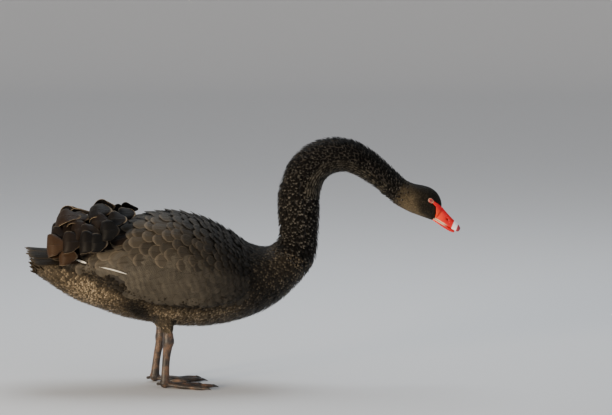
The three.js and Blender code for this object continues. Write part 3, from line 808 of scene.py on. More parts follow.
def brownness(place, angle):
    """Black on crown, face and neck, brown on cheek, throat and belly, 0 to 1.6; browner below as painted
    light.
    """
    around = np.abs(angle) / 180
    at = body_point(place, angle)
    front = np.interp(at[..., 2], CHEEK_FRONT[:, 1], CHEEK_FRONT[:, 0])
    cheek = smooth_step(front - at[..., 0], -20, 9)
    low = smooth_step(around, 0.22, 0.8)
    head = 0.07 + cheek * (0.18 + 1.04 * low)
    on_head = smooth_step(place, 25.0, 26.8)
    body = np.interp(place, *BROWN_ALONG) * (0.5 + 0.8 * around)
    return np.clip(body * (1 - on_head) + head * on_head, 0, 1.6)


def paleness(place, angle):
    """How strongly feather tips stand out, partly painted light: most under the lit tail, least on the neck's
    top.
    """
    return np.interp(place, *PALE_ALONG) * np.interp(np.abs(angle), *PALE_AROUND)


# %% Where the coat is bare, covered or in shade
EYE = {"x": 424.0, "z": 421.0, "y": 25.5, "radius": 6.2, "sunk": 2.2}
# rear and upper edge of the bare skin between bill and eye in the side view, x and z
LORES_REAR = np.array([(430, 370), (434.5, 383), (436.7, 396), (436.5, 406), (428, 415)], dtype=float)
LORES_TOP = np.array([(427, 421), (441, 413), (452, 402), (458, 394)], dtype=float)
# x, z, size and slope of the patch of painted shade in the hollow between flank and thigh
HOLLOW_SHADE = {"x": -224.0, "z": 179.0, "length": 42.0, "height": 20.0, "slope": math.radians(-31)}
EYE_CLEARANCE = 1.6
WING_OVERLAP = 12  # degrees that the coat runs up under the wing's lower edge


def clear_of_face(place, angle):
    """False where a feather would grow on the eye, its lids or the bare skin in front of it."""
    at = winged_point(place, angle)
    x, z = at[..., 0], at[..., 2]
    from_eye = np.hypot(x - EYE["x"], z - EYE["z"])
    ahead_of_rear = x > np.interp(z, LORES_REAR[:, 1], LORES_REAR[:, 0]) - 0.5
    under_top = z < np.interp(x, LORES_TOP[:, 0], LORES_TOP[:, 1]) + 0.5
    return (from_eye > EYE["radius"] + EYE_CLEARANCE) & ~(ahead_of_rear & under_top)


def below_wing(place, angle):
    """Degrees from the folded wing's lower edge down to a place on the body."""
    return np.abs(angle) - np.interp(place, WING[:, 0], WING[:, 2], left=0, right=0)


def slanted(frame, x, z):
    """How far a point of the side view lies along and across a slanted mark, in the mark's own sizes."""
    cosine, sine = math.cos(frame["slope"]), math.sin(frame["slope"])
    x, z = x - frame["x"], z - frame["z"]
    return (x * cosine + z * sine) / frame["length"], (z * cosine - x * sine) / frame["height"]


def painted_hollow_shade(at):
    """Painted shade: 1 in the shaded hollow between flank and thigh, falling to 0 around it."""
    along, across = slanted(HOLLOW_SHADE, at[..., 0], at[..., 2])
    return np.exp(-(along**4) - across**4)


def clear_of_wing(place, angle):
    """False where the folded wing and its coverts lie over the body."""
    return below_wing(place, angle) > -WING_OVERLAP


# %% One tract of small feathers
# wild scales the disorder, lift is how far tips stand off, bright the share of pale-tipped feathers
COAT_LOOKS = {
    "wild": 1.0, "lift": (0.1, 0.7), "bright": 0.55, "mottle": (0.75, 1.1), "stagger": True, "keep": None,
}
JITTER = 0.35  # how far roots stray, as a share of a step
MM_PER_PLACE = 45  # rough size of a place along the body and of a degree round it
MM_PER_DEGREE = 1.6
# how far the painted shade darkens the feathers in that hollow
HOLLOW_SHADE_STRENGTH = 0.96


def coat(name, zone, length, half, steps, depth, material, **looks):
    """A tract of small feathers. zone is two places and two angles, steps are along and around."""
    looks = COAT_LOOKS | looks
    wild = looks["wild"]
    place, angle = rows_of_roots(zone, steps, looks["stagger"])
    place = place + random.uniform(-JITTER, JITTER, len(place)) * steps[0] / MM_PER_PLACE * wild
    angle = angle + random.uniform(-JITTER, JITTER, len(angle)) * steps[1] / MM_PER_DEGREE * wild
    keep = clear_of_face(place, angle)
    if looks["keep"]:
        keep = keep & looks["keep"](place, angle)
    place, angle = place[keep], angle[keep]
    count = len(place)
    # painted shadow under the folded wing's lower edge: the coat darkens for 15 degrees below it
    shade = 0.15 + 0.85 * smooth_step(below_wing(place, angle), 0, 15)
    # painted shade in the hollow between flank and thigh
    shade = shade * (1 - HOLLOW_SHADE_STRENGTH * painted_hollow_shade(body_point(place, angle)))
    bright = random.random(count) < looks["bright"]
    pale = np.where(bright, random.uniform(0.35, 1.0, count), random.uniform(0.0, 0.2, count))
    roots = {
        "place": place,
        "angle": angle,
        "length": length * random.uniform(0.85, 1.15, count),
        "half": half * random.uniform(0.85, 1.1, count),
        "turn": random.normal(0, 7, count) * wild,
        "low": -depth,
        "high": depth * random.uniform(*looks["lift"], count),
        "cup": 0.22 + 0.1 * random.random(count),
        "tone": random.random(count),
        "pale": pale * shade * paleness(place, angle),
        "brown": brownness(place, angle) * random.uniform(*looks["mottle"], count) * shade,
    }
    dress(lay(name, winged_point, roots, SMALL_VANE, tip=0.45), material, "plumage")


# %% The tracts from brow to rump
def off_inner_bend(place, angle):
    """False under the neck's arch, where ridges of feathers run along the neck."""
    return (np.abs(angle) < 104) | (place < 15.5) | (place > 23.8)


def short_of_head(place, angle):
    """Off the inner bend, and fewer and fewer where the neck's coat runs into the head's."""
    return off_inner_bend(place, angle) & (random.random(len(place)) > smooth_step(place, 25.0, 26.3))


SMOOTH_FACE = {"wild": 0.5, "lift": (0.1, 0.35), "bright": 0.3, "mottle": (0.5, 1.15)}
BEADS = {"lift": (0.4, 1.1), "bright": 0.75, "wild": 1.5, "keep": off_inner_bend}
FADING_BEADS = BEADS | {"keep": short_of_head}
RIDGES = {"wild": 0.25, "lift": (0.3, 1.1), "bright": 0.8, "stagger": False}
UNDER_WING = {"keep": clear_of_wing}
BELLY = UNDER_WING | {"bright": 0.7}
coat("head_feathers", (24.9, 31.2, 0, 180), 6.0, 1.9, (1.9, 2.3), 1.2, HEAD_PLUMAGE, **SMOOTH_FACE)
coat("upper_neck_feathers", (17.0, 26.4, 0, 180), 11.0, 3.3, (6.6, 6.8), 2.8, NECK_PLUMAGE, **FADING_BEADS)
coat("neck_ridge_feathers", (15.5, 24.2, 100, 180), 14.0, 2.3, (6.0, 5.6), 2.6, RIDGE_PLUMAGE, **RIDGES)
coat("lower_neck_feathers", (11.6, 17.3, 0, 180), 12.5, 3.7, (7.2, 7.4), 3.2, NECK_PLUMAGE, **BEADS)
coat("breast_feathers", (7.6, 12.0, 0, 180), 14.0, 3.9, (5.8, 6.2), 4.0, BODY_PLUMAGE, **UNDER_WING)
coat("belly_feathers", (2.4, 7.9, 76, 180), 14.0, 4.0, (5.4, 5.8), 4.6, BODY_PLUMAGE, **BELLY)
coat("rump_feathers", (-0.2, 3.4, 0, 180), 17.0, 4.8, (5.8, 6.2), 5.0, BODY_PLUMAGE)
coat("mantle_feathers", (3.2, 9.6, 0, 30), 24.0, 8.5, (9.0, 11.0), 3.5, COVERT_PLUMAGE, bright=0.2)


# %% Thigh feathers
THIGH_RINGS = np.linspace(0.16, 0.95, 14)  # shares of the way from the knee to the belly
FEATHERS_A_RING = (12, 34)


def thigh_feathers(name, leg):
    """Rings of feathers round a thigh, counted from the knee up."""
    def surface(place, angle, lift=0.0):
        return limb_section(thigh_rows(leg)[::-1], place, np.radians(angle), lift)

    counts = np.interp(THIGH_RINGS, [0, 1], FEATHERS_A_RING).astype(int)
    place = np.repeat(THIGH_RINGS, counts)
    angle = np.concatenate([(np.arange(n) + 0.5 * (k % 2)) * 360 / n - 180 for k, n in enumerate(counts)])
    count = len(place)
    # painted shade where the thigh runs into the hollow under the flank
    shade = 1 - 0.92 * painted_hollow_shade(surface(place, angle))
    roots = {
        "place": place,
        "angle": angle + random.uniform(-4, 4, count),
        "length": random.uniform(13, 18, count),
        "half": random.uniform(3.4, 4.6, count),
        "turn": random.normal(0, 9, count),
        "low": -3.0,
        "high": random.uniform(0.2, 2.2, count),
        "cup": 0.2,
        "tone": random.random(count),
        "pale": 0.8 * random.random(count) * shade,
        "brown": 0.6 * shade,
    }
    dress(lay(name, surface, roots, SMALL_VANE), BODY_PLUMAGE, "plumage")


for side_name, leg in LEGS.items():
    thigh_feathers(f"thigh_feathers_{side_name}", leg)


# %% [markdown]
# ## The folded wings
#
# Rounded scapulars lie in scalloped rows over the shoulder and back, larger towards the tail, each with
# a paler rim. Below them the flank is covered by broad soft coverts without clear edges. A few
# white flight feathers show as a thin streak where the wing closes over the rump.

# %% One tract on a wing
STREAK_FRONT = 4.7  # the white streak's front place and upper angle, where no other feather grows
STREAK_TOP = 80
PLACE_SCATTER = 0.05
PLACE_BOW = 0.1  # how far the middle of each row bows to the front, in places


def tract(name, side, look, pattern=COVERT_VANE):
    """Rows of larger feathers on one wing, from the front row to the rear row."""
    place, angle = [], []
    at = look["rows"][0]
    k = 0
    while at > look["rows"][1]:
        half = np.interp(at, *look["half"])
        count = max(2, round(girth(winged_point, at, look["angles"], 40) / (look["pitch"] * half)))
        share = (np.arange(count) + 0.25 + 0.5 * (k % 2)) / count
        spread = look["angles"][0] + share * (look["angles"][1] - look["angles"][0])
        scatter = PLACE_SCATTER * random.standard_normal(count)
        place.append(at + scatter - PLACE_BOW * np.cos(2 * np.pi * share))
        angle.append(spread + random.standard_normal(count))
        speed = np.linalg.norm(np.diff(winged_point(np.array([at - 0.5, at + 0.5]), 60.0), axis=0))
        at -= look["exposure"] * half / speed
        k += 1
    place, angle = np.concatenate(place), np.concatenate(angle)
    over_streak = (place < STREAK_FRONT) & (angle > STREAK_TOP)
    place, angle = place[~over_streak], angle[~over_streak]
    count = len(place)
    half = np.interp(place, *look["half"]) * random.uniform(0.93, 1.07, count)
    front = smooth_step(place, *look["fade"])
    roots = {
        "place": place,
        "angle": side * angle,
        "length": half * look["long"] * random.uniform(0.94, 1.06, count),
        "half": half,
        "turn": look["turn"] + look["hang"] * front + 3 * random.standard_normal(count),
        "low": -3.5,
        "high": look["stand"] * random.uniform(0.7, 1.3, count),
        "cup": look["cup"],
        "tone": random.random(count),
        # pale rims and brown fade out towards the front rows: painted shade on the wing's front
        "pale": np.clip(look["pale"] * random.uniform(0.4, 1.1, count), 0, 1) * (1 - 0.7 * front),
        "brown": look["brown"] * random.uniform(*look["mottle"], count) * (1 - 0.75 * front),
    }
    return lay(name, winged_point, roots, pattern, tip=0.72, round_off=0.16, frizz=look["frizz"])


# %% Scapulars, flank coverts and tertials
# rows are the front and rear places, half is a table of half widths by place, hang turns the front
# feathers downwards, and fade is where along the body the tract turns dark towards the front, painted
# shade where the wing's front turns away from the key light
SCAPULARS = {
    "rows": (8.9, 3.1), "angles": (3, 80), "half": ([3, 4.5, 6, 7.5, 8.8], [19.5, 19, 16, 10, 6]),
    "exposure": 1.32, "long": 2.6, "pitch": 1.75, "turn": 4, "hang": 6, "stand": 5.0, "cup": 0.16,
    "pale": 0.72, "brown": 0.75, "frizz": 0.3, "fade": (5.2, 8.6), "mottle": (0.7, 1.15),
}
FLANK = {
    "rows": (8.7, 3.4), "angles": (70, 112), "half": ([2.4, 4, 6, 7.6, 8.8], [17, 18, 15, 10, 6]),
    "exposure": 0.85, "long": 2.8, "pitch": 1.25, "turn": 14, "hang": 34, "stand": 2.2, "cup": 0.06,
    "pale": 0.1, "brown": 1.15, "frizz": 0.3, "fade": (6.2, 8.5), "mottle": (0.86, 1.10),
}
TERTIALS = {
    "rows": (4.6, 2.4), "angles": (6, 58), "half": ([2, 5], [18, 18]),
    "exposure": 1.3, "long": 3.6, "pitch": 1.6, "turn": -2, "hang": 0, "stand": 6.0, "cup": 0.14,
    "pale": 0.4, "brown": 0.15, "frizz": 0.5, "fade": (8, 9), "mottle": (0.75, 1.15),
}


# %% White streak
# root place, root angle, length, half width, turn and height of each white flight feather that shows
STREAKS = np.array([
    [4.30, 88, 72, 1.7, -21, 6.5],
    [2.80, 71, 30, 2.4, -22, 8.0],
])


def white_feathers(name, side):
    place, angle, length, half, turn, high = STREAKS.T
    roots = {
        "place": place, "angle": side * angle, "length": length, "half": half, "turn": turn, "cup": 0.1,
        "low": high - 2.0, "high": high, "tone": random.random(len(STREAKS)), "pale": 0.4, "brown": 0.0,
    }
    return lay(name, winged_point, roots, LONG_VANE, thickness=0.5)


# %% Both wings
for side_name, side in SIDES.items():
    dress(tract(f"flank_coverts_{side_name}", side, FLANK), FLANK_PLUMAGE, "wing_plumage")
    back = tract(f"scapulars_{side_name}", side, SCAPULARS)
    dress(back, COVERT_PLUMAGE, "wing_plumage", f"wing_{side_name}")
    dress(tract(f"tertials_{side_name}", side, TERTIALS, LONG_VANE), CURL_PLUMAGE, "wing_plumage")
    dress(white_feathers(f"white_primaries_{side_name}", side), WHITE_PLUMAGE, "wing_plumage")


# %% [markdown]
# ## Curled tertials
#
# The black swan's mark is the ruffle over its rump: long inner wing feathers that run back, then curl
# up and over like shavings. Each is a straight length and an arc. The vane's edges ripple, and its rim
# is thin and pale, so it shows against the black inside of the curl.

# %% Curls
# root place, root angle, straight length, curl radius, half width, lean from the middle, share of brown
CURLS = np.array([
    [4.35, 19, 18, 14, 18, 42, 0.0],
    [4.15, 30, 24, 16, 20, 52, 0.05],
    [4.0, 42, 30, 17, 24, 66, 0.0],
    [3.7, 14, 34, 25, 24, 37, 0.05],
    [3.7, 28, 32, 18, 23, 52, 0.15],
    [3.6, 54, 30, 16, 22, 72, 0.0],
    [3.4, 52, 38, 17, 26, 70, 0.05],
    [3.4, 40, 36, 18, 24, 60, 0.1],
    [3.1, 31, 40, 19, 26, 54, 0.2],
    [3.05, 16, 46, 24, 22, 33, 0.15],
    [2.8, 14, 54, 29, 24, 34, 0.3],
    [2.8, 44, 44, 18, 25, 66, 0.1],
    [2.6, 22, 46, 21, 24, 44, 0.15],
    [2.45, 29, 54, 19, 24, 54, 0.1],
    [2.4, 12, 52, 20, 22, 36, 0.1],
    [2.4, 42, 60, 18, 26, 66, 0.7],
    [2.5, 60, 38, 15, 20, 76, 1.0],
])
CURL_TURN = math.radians(172)
CURL_RISE = 0.32
CURL_RETURN = 26.0  # length that runs on towards the front after the curl
CURL_RIPPLE = 3.4
CURL_THICKNESS = 0.6


# %% Bend each curl
def curl_points(curl, side):
    v, u, _ = LONG_VANE
    place, angle, straight, radius, half, lean, _ = curl
    root = winged_point(place, side * angle, -2.0)[0]
    away = math.radians(lean + random.uniform(-5, 5))
    out = np.array([0, side * math.sin(away), math.cos(away)])
    back = np.array([-1.0, 0, 0]) + CURL_RISE * out
    back /= np.linalg.norm(back)
    across = np.cross(out, back)
    across /= np.linalg.norm(across)
    up = np.cross(back, across)
    arc = radius * CURL_TURN
    s = u * (straight + arc + CURL_RETURN) * (1 - 0.12 * v**2 * u**3)
    bend = np.clip((s - straight) / radius, 0, CURL_TURN)
    beyond = np.maximum(s - straight - arc, 0)
    along = np.minimum(s, straight) + radius * np.sin(bend) + beyond * math.cos(CURL_TURN)
    rise = radius * (1 - np.cos(bend)) + beyond * math.sin(CURL_TURN)
    width = half * np.interp(u, [0, 0.4, 0.75, 0.92, 1.0], [0.5, 0.9, 1.04, 0.92, 0.66])
    normal = np.outer(np.cos(bend), up) - np.outer(np.sin(bend), back)
    phase = random.uniform(0, 6.28)
    ripple = CURL_RIPPLE * np.sin(11 * u + phase + 2.0 * v) * v**2 * u + 0.12 * half * v**2
    centre = root + np.outer(along, back) + np.outer(rise, up)
    return centre + np.outer(v * width, across) + normal * ripple[:, None]


def curled_feathers(name, side):
    points = np.stack([curl_points(curl, side) for curl in CURLS])
    count = len(CURLS)
    marks = np.stack([random.random(count), random.uniform(0.1, 0.8, count), CURLS[:, -1]], axis=-1)
    bake_at = bake_place(CURLS[:, 0], side * CURLS[:, 1])
    return feather_mesh(name, points, LONG_VANE, marks, bake_at, CURL_THICKNESS)


for side_name, side in SIDES.items():
    dress(curled_feathers(f"curled_tertials_{side_name}", side), CURL_PLUMAGE, "wing_plumage")


# %% [markdown]
# ## Tail
#
# The tail is short and square. Its feathers fan out in one plane that droops at the sides, with a tier
# of coverts above and softer tiers below.

# %% Tail feathers
# count, length, spread in degrees, half width, rise, height, droop, x and half span of the roots
TAIL_TIERS = [
    [14, 102, 20, 11, 6, 307, 27, -388, 47],
    [11, 66, 16, 11, 6, 315, 25, -372, 40],
    [9, 66, 17, 11, 20, 249, -8, -406, 30],
    [7, 60, 12, 9, 14, 246, -10, -417, 22],
    [8, 61, 14, 9, 16, 254, -6, -419, 26],
    [8, 62, 14, 9, 16, 264, 2, -420, 27],
    [7, 62, 12, 9, 14, 275, 10, -420, 24],
    [9, 70, 15, 12, 26, 222, -10, -366, 36],
]
TAIL_SIDE_SLOPE = -34  # degrees by which the outermost feathers lean outwards
UPPER_TIER_HEIGHT = 280
TAIL_THICKNESS = 0.6


# %% Fan the tail
def tail_points(tier, place):
    v, u, _ = LONG_VANE
    _, length, spread, half, rise, height, droop, root_x, root_span = tier
    yaw = math.radians(spread * place)
    length = length * (1 - 0.2 * place**2) * random.uniform(0.96, 1.03)
    reach = length * u * (1 - 0.08 * v**2 * u)
    slope = math.radians(TAIL_SIDE_SLOPE * place)
    across = np.array([0, math.cos(slope), math.sin(slope)])
    up = np.array([0, -math.sin(slope), math.cos(slope)])
    x = root_x - reach * math.cos(yaw)
    y = root_span * place + reach * math.sin(yaw)
    z = height + rise * u - droop * place**2 * (0.6 + 0.4 * u)
    width = v * half * outline(u, 0.62)
    lift = random.uniform(-1.2, 1.2) * u - 1.4 * v**2
    return np.stack([x, y, z], axis=-1) + np.outer(width, across) + np.outer(lift, up)


def tail_feathers():
    points, angles = [], []
    for tier in TAIL_TIERS:
        on_top = tier[5] > UPPER_TIER_HEIGHT
        for share in np.linspace(-1, 1, tier[0]):
            points.append(tail_points(tier, share))
            angles.append(70 * share if on_top else (-60 * share) % 360 - 180)
    count = len(points)
    marks = [random.random(count), random.uniform(0.3, 0.9, count), random.uniform(0.2, 0.8, count)]
    bake_at = bake_place(np.full(count, 1.5), np.array(angles))
    marks = np.stack(marks, axis=-1)
    return feather_mesh("tail_feathers", np.stack(points), LONG_VANE, marks, bake_at, TAIL_THICKNESS)


dress(tail_feathers(), TAIL_PLUMAGE, "plumage")


# %% [markdown]
# ## The bill
#
# The bill is red horn: smooth, a little glossy, with a slit nostril, a pale bar near the tip and a dull
# red nail beyond it. The upper half overhangs the lower, which makes the dark line of the mouth. Bare red
# skin runs from it back to the eye, and is cut from a copy of the head's own surface, so it fits the face.

# %% Bill shapes
# top x, top z, bottom x, bottom z, half width
UPPER_BILL = np.array([
    [450, 404.5, 432, 379, 15.2],
    [460, 392.5, 446, 370, 13.6],
    [471.5, 380, 459, 362, 12.6],
    [481.5, 370, 471, 355, 12.4],
    [488.5, 362.5, 481, 350, 10.5],
    [492, 355, 487, 348, 6],
], dtype=float)
LOWER_BILL = np.array([
    [431, 381, 428.5, 375, 12.6],
    [446, 373, 442.5, 365, 11.8],
    [458, 365, 455, 356.5, 10.8],
    [469, 358, 467, 349.5, 9.8],
    [479, 351, 477, 346, 7],
], dtype=float)
NOSTRIL = {"x": 462.0, "z": 377.0, "length": 5.2, "height": 1.7, "slope": math.radians(-50)}
NOSTRIL_DEPTH = 3.2
NOSTRIL_LIP = 0.35
BILL_FULLNESS = 0.8
BILL_END = 0.93  # share of the length after which the bill rounds off
BILL_END_NARROWING = 0.75
CROWN = 0.42  # how much narrower the upper bill's ridge is than its lower edge


# %% Bill halves
def bill_point(rows, crown):
    """Sections that are wide at the mouth's edge and narrow to a rounded ridge."""

    def point(u, v):
        angle = v * 360 - 180
        place = u * (len(rows) - 1)
        flare = crown * (1 - np.cos(np.radians(angle))) / 2 + (1 - crown)
        made = on_section(rows, place, angle, 0.0, BILL_FULLNESS)
        made[..., 1] = made[..., 1] * flare
        close = np.clip((u - BILL_END) / (1 - BILL_END), 0, 1)
        centre = (on_section(rows, place, 0.0, -1.0) + on_section(rows, place, 180.0, -1.0)) / 2
        shrink = (1 - BILL_END_NARROWING * close**2)[..., None]
        return centre + (made - centre) * shrink

    return point


def press_nostrils(bm):
    """Pushes a slanted slit into each side of the upper bill, with a soft raised edge."""
    for vertex in bm.verts:
        along, across = slanted(NOSTRIL, vertex.co.x / METRES_PER_MM, vertex.co.z / METRES_PER_MM)
        reach = along**2 + across**2
        lip = NOSTRIL_LIP * math.exp(-((math.sqrt(reach) - 1.9) ** 2) * 3)
        dent = NOSTRIL_DEPTH * math.exp(-reach) - lip
        vertex.co.y -= math.copysign(min(dent * METRES_PER_MM, abs(vertex.co.y)), vertex.co.y)


def build_upper_bill():
    bm = loft(bill_point(UPPER_BILL, CROWN), 90, 72)
    press_nostrils(bm)
    return bm


# %% Bare skin before the eye
# side outlines of the bare skin, x and z, in convex patches from the eye down to the gape
LORES_PATCHES = [
    [(428, 415.5), (429.5, 421), (441, 413), (436.5, 406.5)],
    [(436.5, 406.5), (441, 413), (452, 402), (458, 394), (436.7, 394)],
    [(436.7, 394), (458, 394), (452, 384), (431, 368), (434.5, 383)],
]
FACE_START = 26.5  # the place on the body where the copied part of the face begins
LORES_LIFT = 0.5
LORES_THICKNESS = 0.0012  # in metres
LORES_MERGE = 0.00002  # in metres, closes the joints between the patches
LID_ROOM = 0.8  # how far the skin stays clear of the eyeball


def face_surface(u, v):
    return body_point(FACE_START + u * (BROW - FACE_START), v * 360 - 180, LORES_LIFT)


def cut_to(bm, patch):
    """Keeps what lies inside a convex clockwise outline of the side view."""
    for (x, z), (next_x, next_z) in zip(patch, patch[1:] + patch[:1]):
        outward = Vector((-(next_z - z), 0, next_x - x))
        everything = bm.verts[:] + bm.edges[:] + bm.faces[:]
        corner = Vector((x, 0, z)) * METRES_PER_MM
        bmesh.ops.bisect_plane(bm, geom=everything, plane_co=corner, plane_no=outward, clear_outer=True)


def build_lores():
    """A copy of the head's surface, cut to the outline of the bare skin."""
    patches = []
    for patch in LORES_PATCHES:
        bm = loft(face_surface, 70, 90, closed_ends=False)
        cut_to(bm, patch)
        patches.append(bm)
    whole = joined("lores", patches)
    bm = bmesh.new()
    bm.from_mesh(whole.data)
    bmesh.ops.remove_doubles(bm, verts=bm.verts, dist=LORES_MERGE)
    bmesh.ops.recalc_face_normals(bm, faces=bm.faces)
    socket = Vector((EYE["x"], 0, EYE["z"])) * METRES_PER_MM
    room = (EYE["radius"] + LID_ROOM) * METRES_PER_MM
    for vertex in bm.verts:
        flat = Vector((vertex.co.x - socket.x, 0, vertex.co.z - socket.z))
        if flat.length < room:
            vertex.co += flat.normalized() * (room - flat.length)
    bmesh.ops.solidify(bm, geom=bm.faces[:], thickness=LORES_THICKNESS)
    bm.to_mesh(whole.data)
    bm.free()
    return whole


# %% Red horn
BAR_SLANT = (0.926, -0.377)  # forward and up parts of the direction across the pale bar
MOUTH_SLOPE = 0.62
MOUTH_LINE = 0.6475  # height of the mouth's edge plus its slope times the distance forward, in metres
DARK_SHARE = 0.8  # the dark part of the nostril's slit is this much shorter than its dent


def nostril_shade(x, z):
    """1 inside the nostril's slit and 0 outside it, from two wires of the side view."""
    along, across = slanted(NOSTRIL, x / METRES_PER_MM, z / METRES_PER_MM)
    along = along / DARK_SHARE
    return (along * along + across * across).ramp(0.25, 0.8, 1.0, 0.0)


def bill_material(name, pale_bar):
    """Orange red on the side, with painted shade: deeper red towards ridge and tip. The upper half has the
    pale bar.
    """
    material, tree, shader = new_material(name)
    position = object_position(tree)
    x, _, z = position.split()
    ahead = x - z
    fine = position.noise(420.0, 5.0)
    # painted shade: deeper red over the ridge
    red = (x + z).ramp(0.828, 0.850).mix((1.0, 0.038, 0.002), (0.80, 0.002, 0.012))
    red = position.noise(70.0).ramp(0.45, 0.8).mix(red, (0.92, 0.060, 0.006))
    # painted shade: darker red towards the tip
    red = ahead.ramp(0.050, 0.095).mix(red, (0.60, 0.004, 0.006))
    if pale_bar:
        forward = x * BAR_SLANT[0] + z * BAR_SLANT[1]
        bar = forward.ramp(0.3005, 0.3022) * forward.ramp(0.3115, 0.3135, 1.0, 0.0)
        red = bar.mix(red, (0.92, 0.88, 0.90))
        red = forward.ramp(0.3120, 0.3150).mix(red, (0.34, 0.045, 0.060))
        red = nostril_shade(x, z).mix(red, (0.05, 0.002, 0.002))
    along_mouth = x * MOUTH_SLOPE + z
    over_edge = along_mouth.ramp(MOUTH_LINE + 0.0024, MOUTH_LINE + 0.0036, 1.0, 0.0)
    under_edge = along_mouth.ramp(MOUTH_LINE - 0.0034, MOUTH_LINE - 0.0024)
    cream = over_edge * under_edge * ahead.ramp(0.082, 0.104, 1.0, 0.0)
    fill(shader, {
        "Base Color": cream.mix(red, (0.86, 0.70, 0.48)),
        "Roughness": fine * 0.25 + 0.30,
        "Normal": relief(fine, 0.00025),
        "Specular IOR Level": 0.25,
        "Subsurface Weight": 0.03,
        "Subsurface Radius": (0.004, 0.001, 0.0006),
    })
    return material


RED_HORN = bill_material("red horn", True)
LOWER_HORN = bill_material("lower red horn", False)
dress(object_from(build_upper_bill(), "upper_bill"), RED_HORN, "bill", "bill_upper")
dress(build_lores(), RED_HORN, "bill")
lower = object_from(loft(bill_point(LOWER_BILL, 0.0), 50, 40), "lower_bill")
dress(lower, LOWER_HORN, "bill", "bill_lower")


# %% [markdown]
# ## Eyes
#
# The eye is a wet ball with a dark red iris and a round pupil, sunk in the head inside a thin bare
# lid. The iris is painted by distance from the eye's axis, and a clear coat gives the catchlight.

# %% Eyes
LID_TUBE = 0.8
LID_LIFT = 0.9
LID_SHAPE = (1.08, 0.84, 1.0)
LID_SLANT = math.radians(35)


def eye_material(name):
    material, tree, shader = new_material(name)
    position = object_position(tree)
    centred = position.into("ShaderNodeMapping")
    feed(centred.inputs["Location"], (-EYE["x"] * METRES_PER_MM, 0.0, -EYE["z"] * METRES_PER_MM))
    x, _, z = Wire(centred).split()
    away = (x * x + z * z).maths("SQRT")
    iris = position.noise(900.0).mix((0.34, 0.012, 0.008), (0.60, 0.055, 0.025))
    iris = away.ramp(0.0040, 0.0050).mix(iris, (0.06, 0.004, 0.003))
    fill(shader, {
        "Base Color": away.ramp(0.0017, 0.0020).mix((0.0, 0.0, 0.0), iris),
        "Roughness": 0.12,
        "Coat Weight": 1.0,
        "Coat Roughness": 0.03,
    })
    return material


def facing_out(side, beyond):
    """Turns a shape built round z to face sideways from the eye, a little in front of its rim."""
    place = Vector((EYE["x"], side * (EYE["y"] + beyond), EYE["z"])) * METRES_PER_MM
    return Matrix.Translation(place), Matrix.Rotation(math.pi / 2, 4, "X")


def build_eye(side):
    bm = bmesh.new()
    bmesh.ops.create_uvsphere(bm, u_segments=40, v_segments=24, radius=EYE["radius"] * METRES_PER_MM)
    moved, turned = facing_out(side, -EYE["sunk"])
    bmesh.ops.transform(bm, matrix=moved @ turned, verts=bm.verts)
    return bm


def build_lid(side):
    """A ring spun round the eye's axis, a little narrower above and below than it is long."""
    bm = bmesh.new()
    ring = bmesh.ops.create_circle(bm, segments=10, radius=LID_TUBE * METRES_PER_MM)
    bmesh.ops.translate(bm, verts=ring["verts"], vec=((EYE["radius"] - LID_TUBE) * METRES_PER_MM, 0, 0))
    bmesh.ops.rotate(bm, verts=ring["verts"], cent=(0, 0, 0), matrix=Matrix.Rotation(math.pi / 2, 3, "X"))
    bmesh.ops.spin(
        bm, geom=bm.edges[:], cent=(0, 0, 0), axis=(0, 0, 1), angle=2 * math.pi, steps=40, use_merge=True
    )
    bmesh.ops.scale(bm, vec=LID_SHAPE, verts=bm.verts)
    moved, turned = facing_out(side, LID_LIFT)
    slant = Matrix.Rotation(LID_SLANT, 4, "Y")
    bmesh.ops.transform(bm, matrix=moved @ slant @ turned, verts=bm.verts)
    bmesh.ops.recalc_face_normals(bm, faces=bm.faces)
    return bm


LID_SKIN = mottled("bare lid skin", 500.0, (0.30, 0.12, 0.07), (0.62, 0.36, 0.24), 0.5, 0.0004)
for side_name, side in SIDES.items():
    ball = object_from(build_eye(side), f"eyeball_{side_name}")
    dress(ball, eye_material(f"eye {side_name}"), "eye", f"eye_{side_name}")
    dress(object_from(build_lid(side), f"eyelid_{side_name}"), LID_SKIN, "bill")


# %% [markdown]
# ## Legs, feet and claws
#
# The shanks are covered in scutes, broad across the front and small behind, and swell at the ankle.
# Three long toes carry the web, whose front edge curves back between them, and a small hind toe
# hangs clear. Toes, knuckle and web are fused by a fine voxel remesh so that the web grows out of them.

# %% Shanks
SCUTE_PITCH = 4.6


def shank_point(leg):
    y = leg["side"] * FOOT_SPREAD
    ankle, heel = leg["ankle"], leg["heel"]
    smooth = limb_point([
        [leg["knee"], y, 129, 10.5, 9],
        [leg["knee"] + 1, y, 115, 12.0, 9.8],
        [ankle + 3, y, 103, 13.0, 10.4],
        [ankle + 1, y, 90, 10.4, 8.4],
        [ankle * 0.6 + heel * 0.4, y, 66, 8.8, 7],
        [ankle * 0.25 + heel * 0.75, y, 40, 8.8, 7],
        [heel, y, 12, 10.4, 9.4],
    ])

    def point(u, v):
        made = smooth(u, v)
        height, turn = made[..., 2], 2 * np.pi * v
        front = np.clip(np.cos(turn), 0, 1) ** 0.5
        step = height / SCUTE_PITCH % 1.0
        ridge = (step - 0.4) * 0.75 * front * (np.clip(step * 6, 0, 1))
        cells = np.sin(11 * turn + np.floor(height / 3.1) * 2.1) * np.sin(height * 2.03)
        lump = ridge + 0.16 * cells * (1 - front)
        made[..., 0] += lump * np.cos(turn)
        made[..., 1] += lump * np.sin(turn)
        return made

    return point


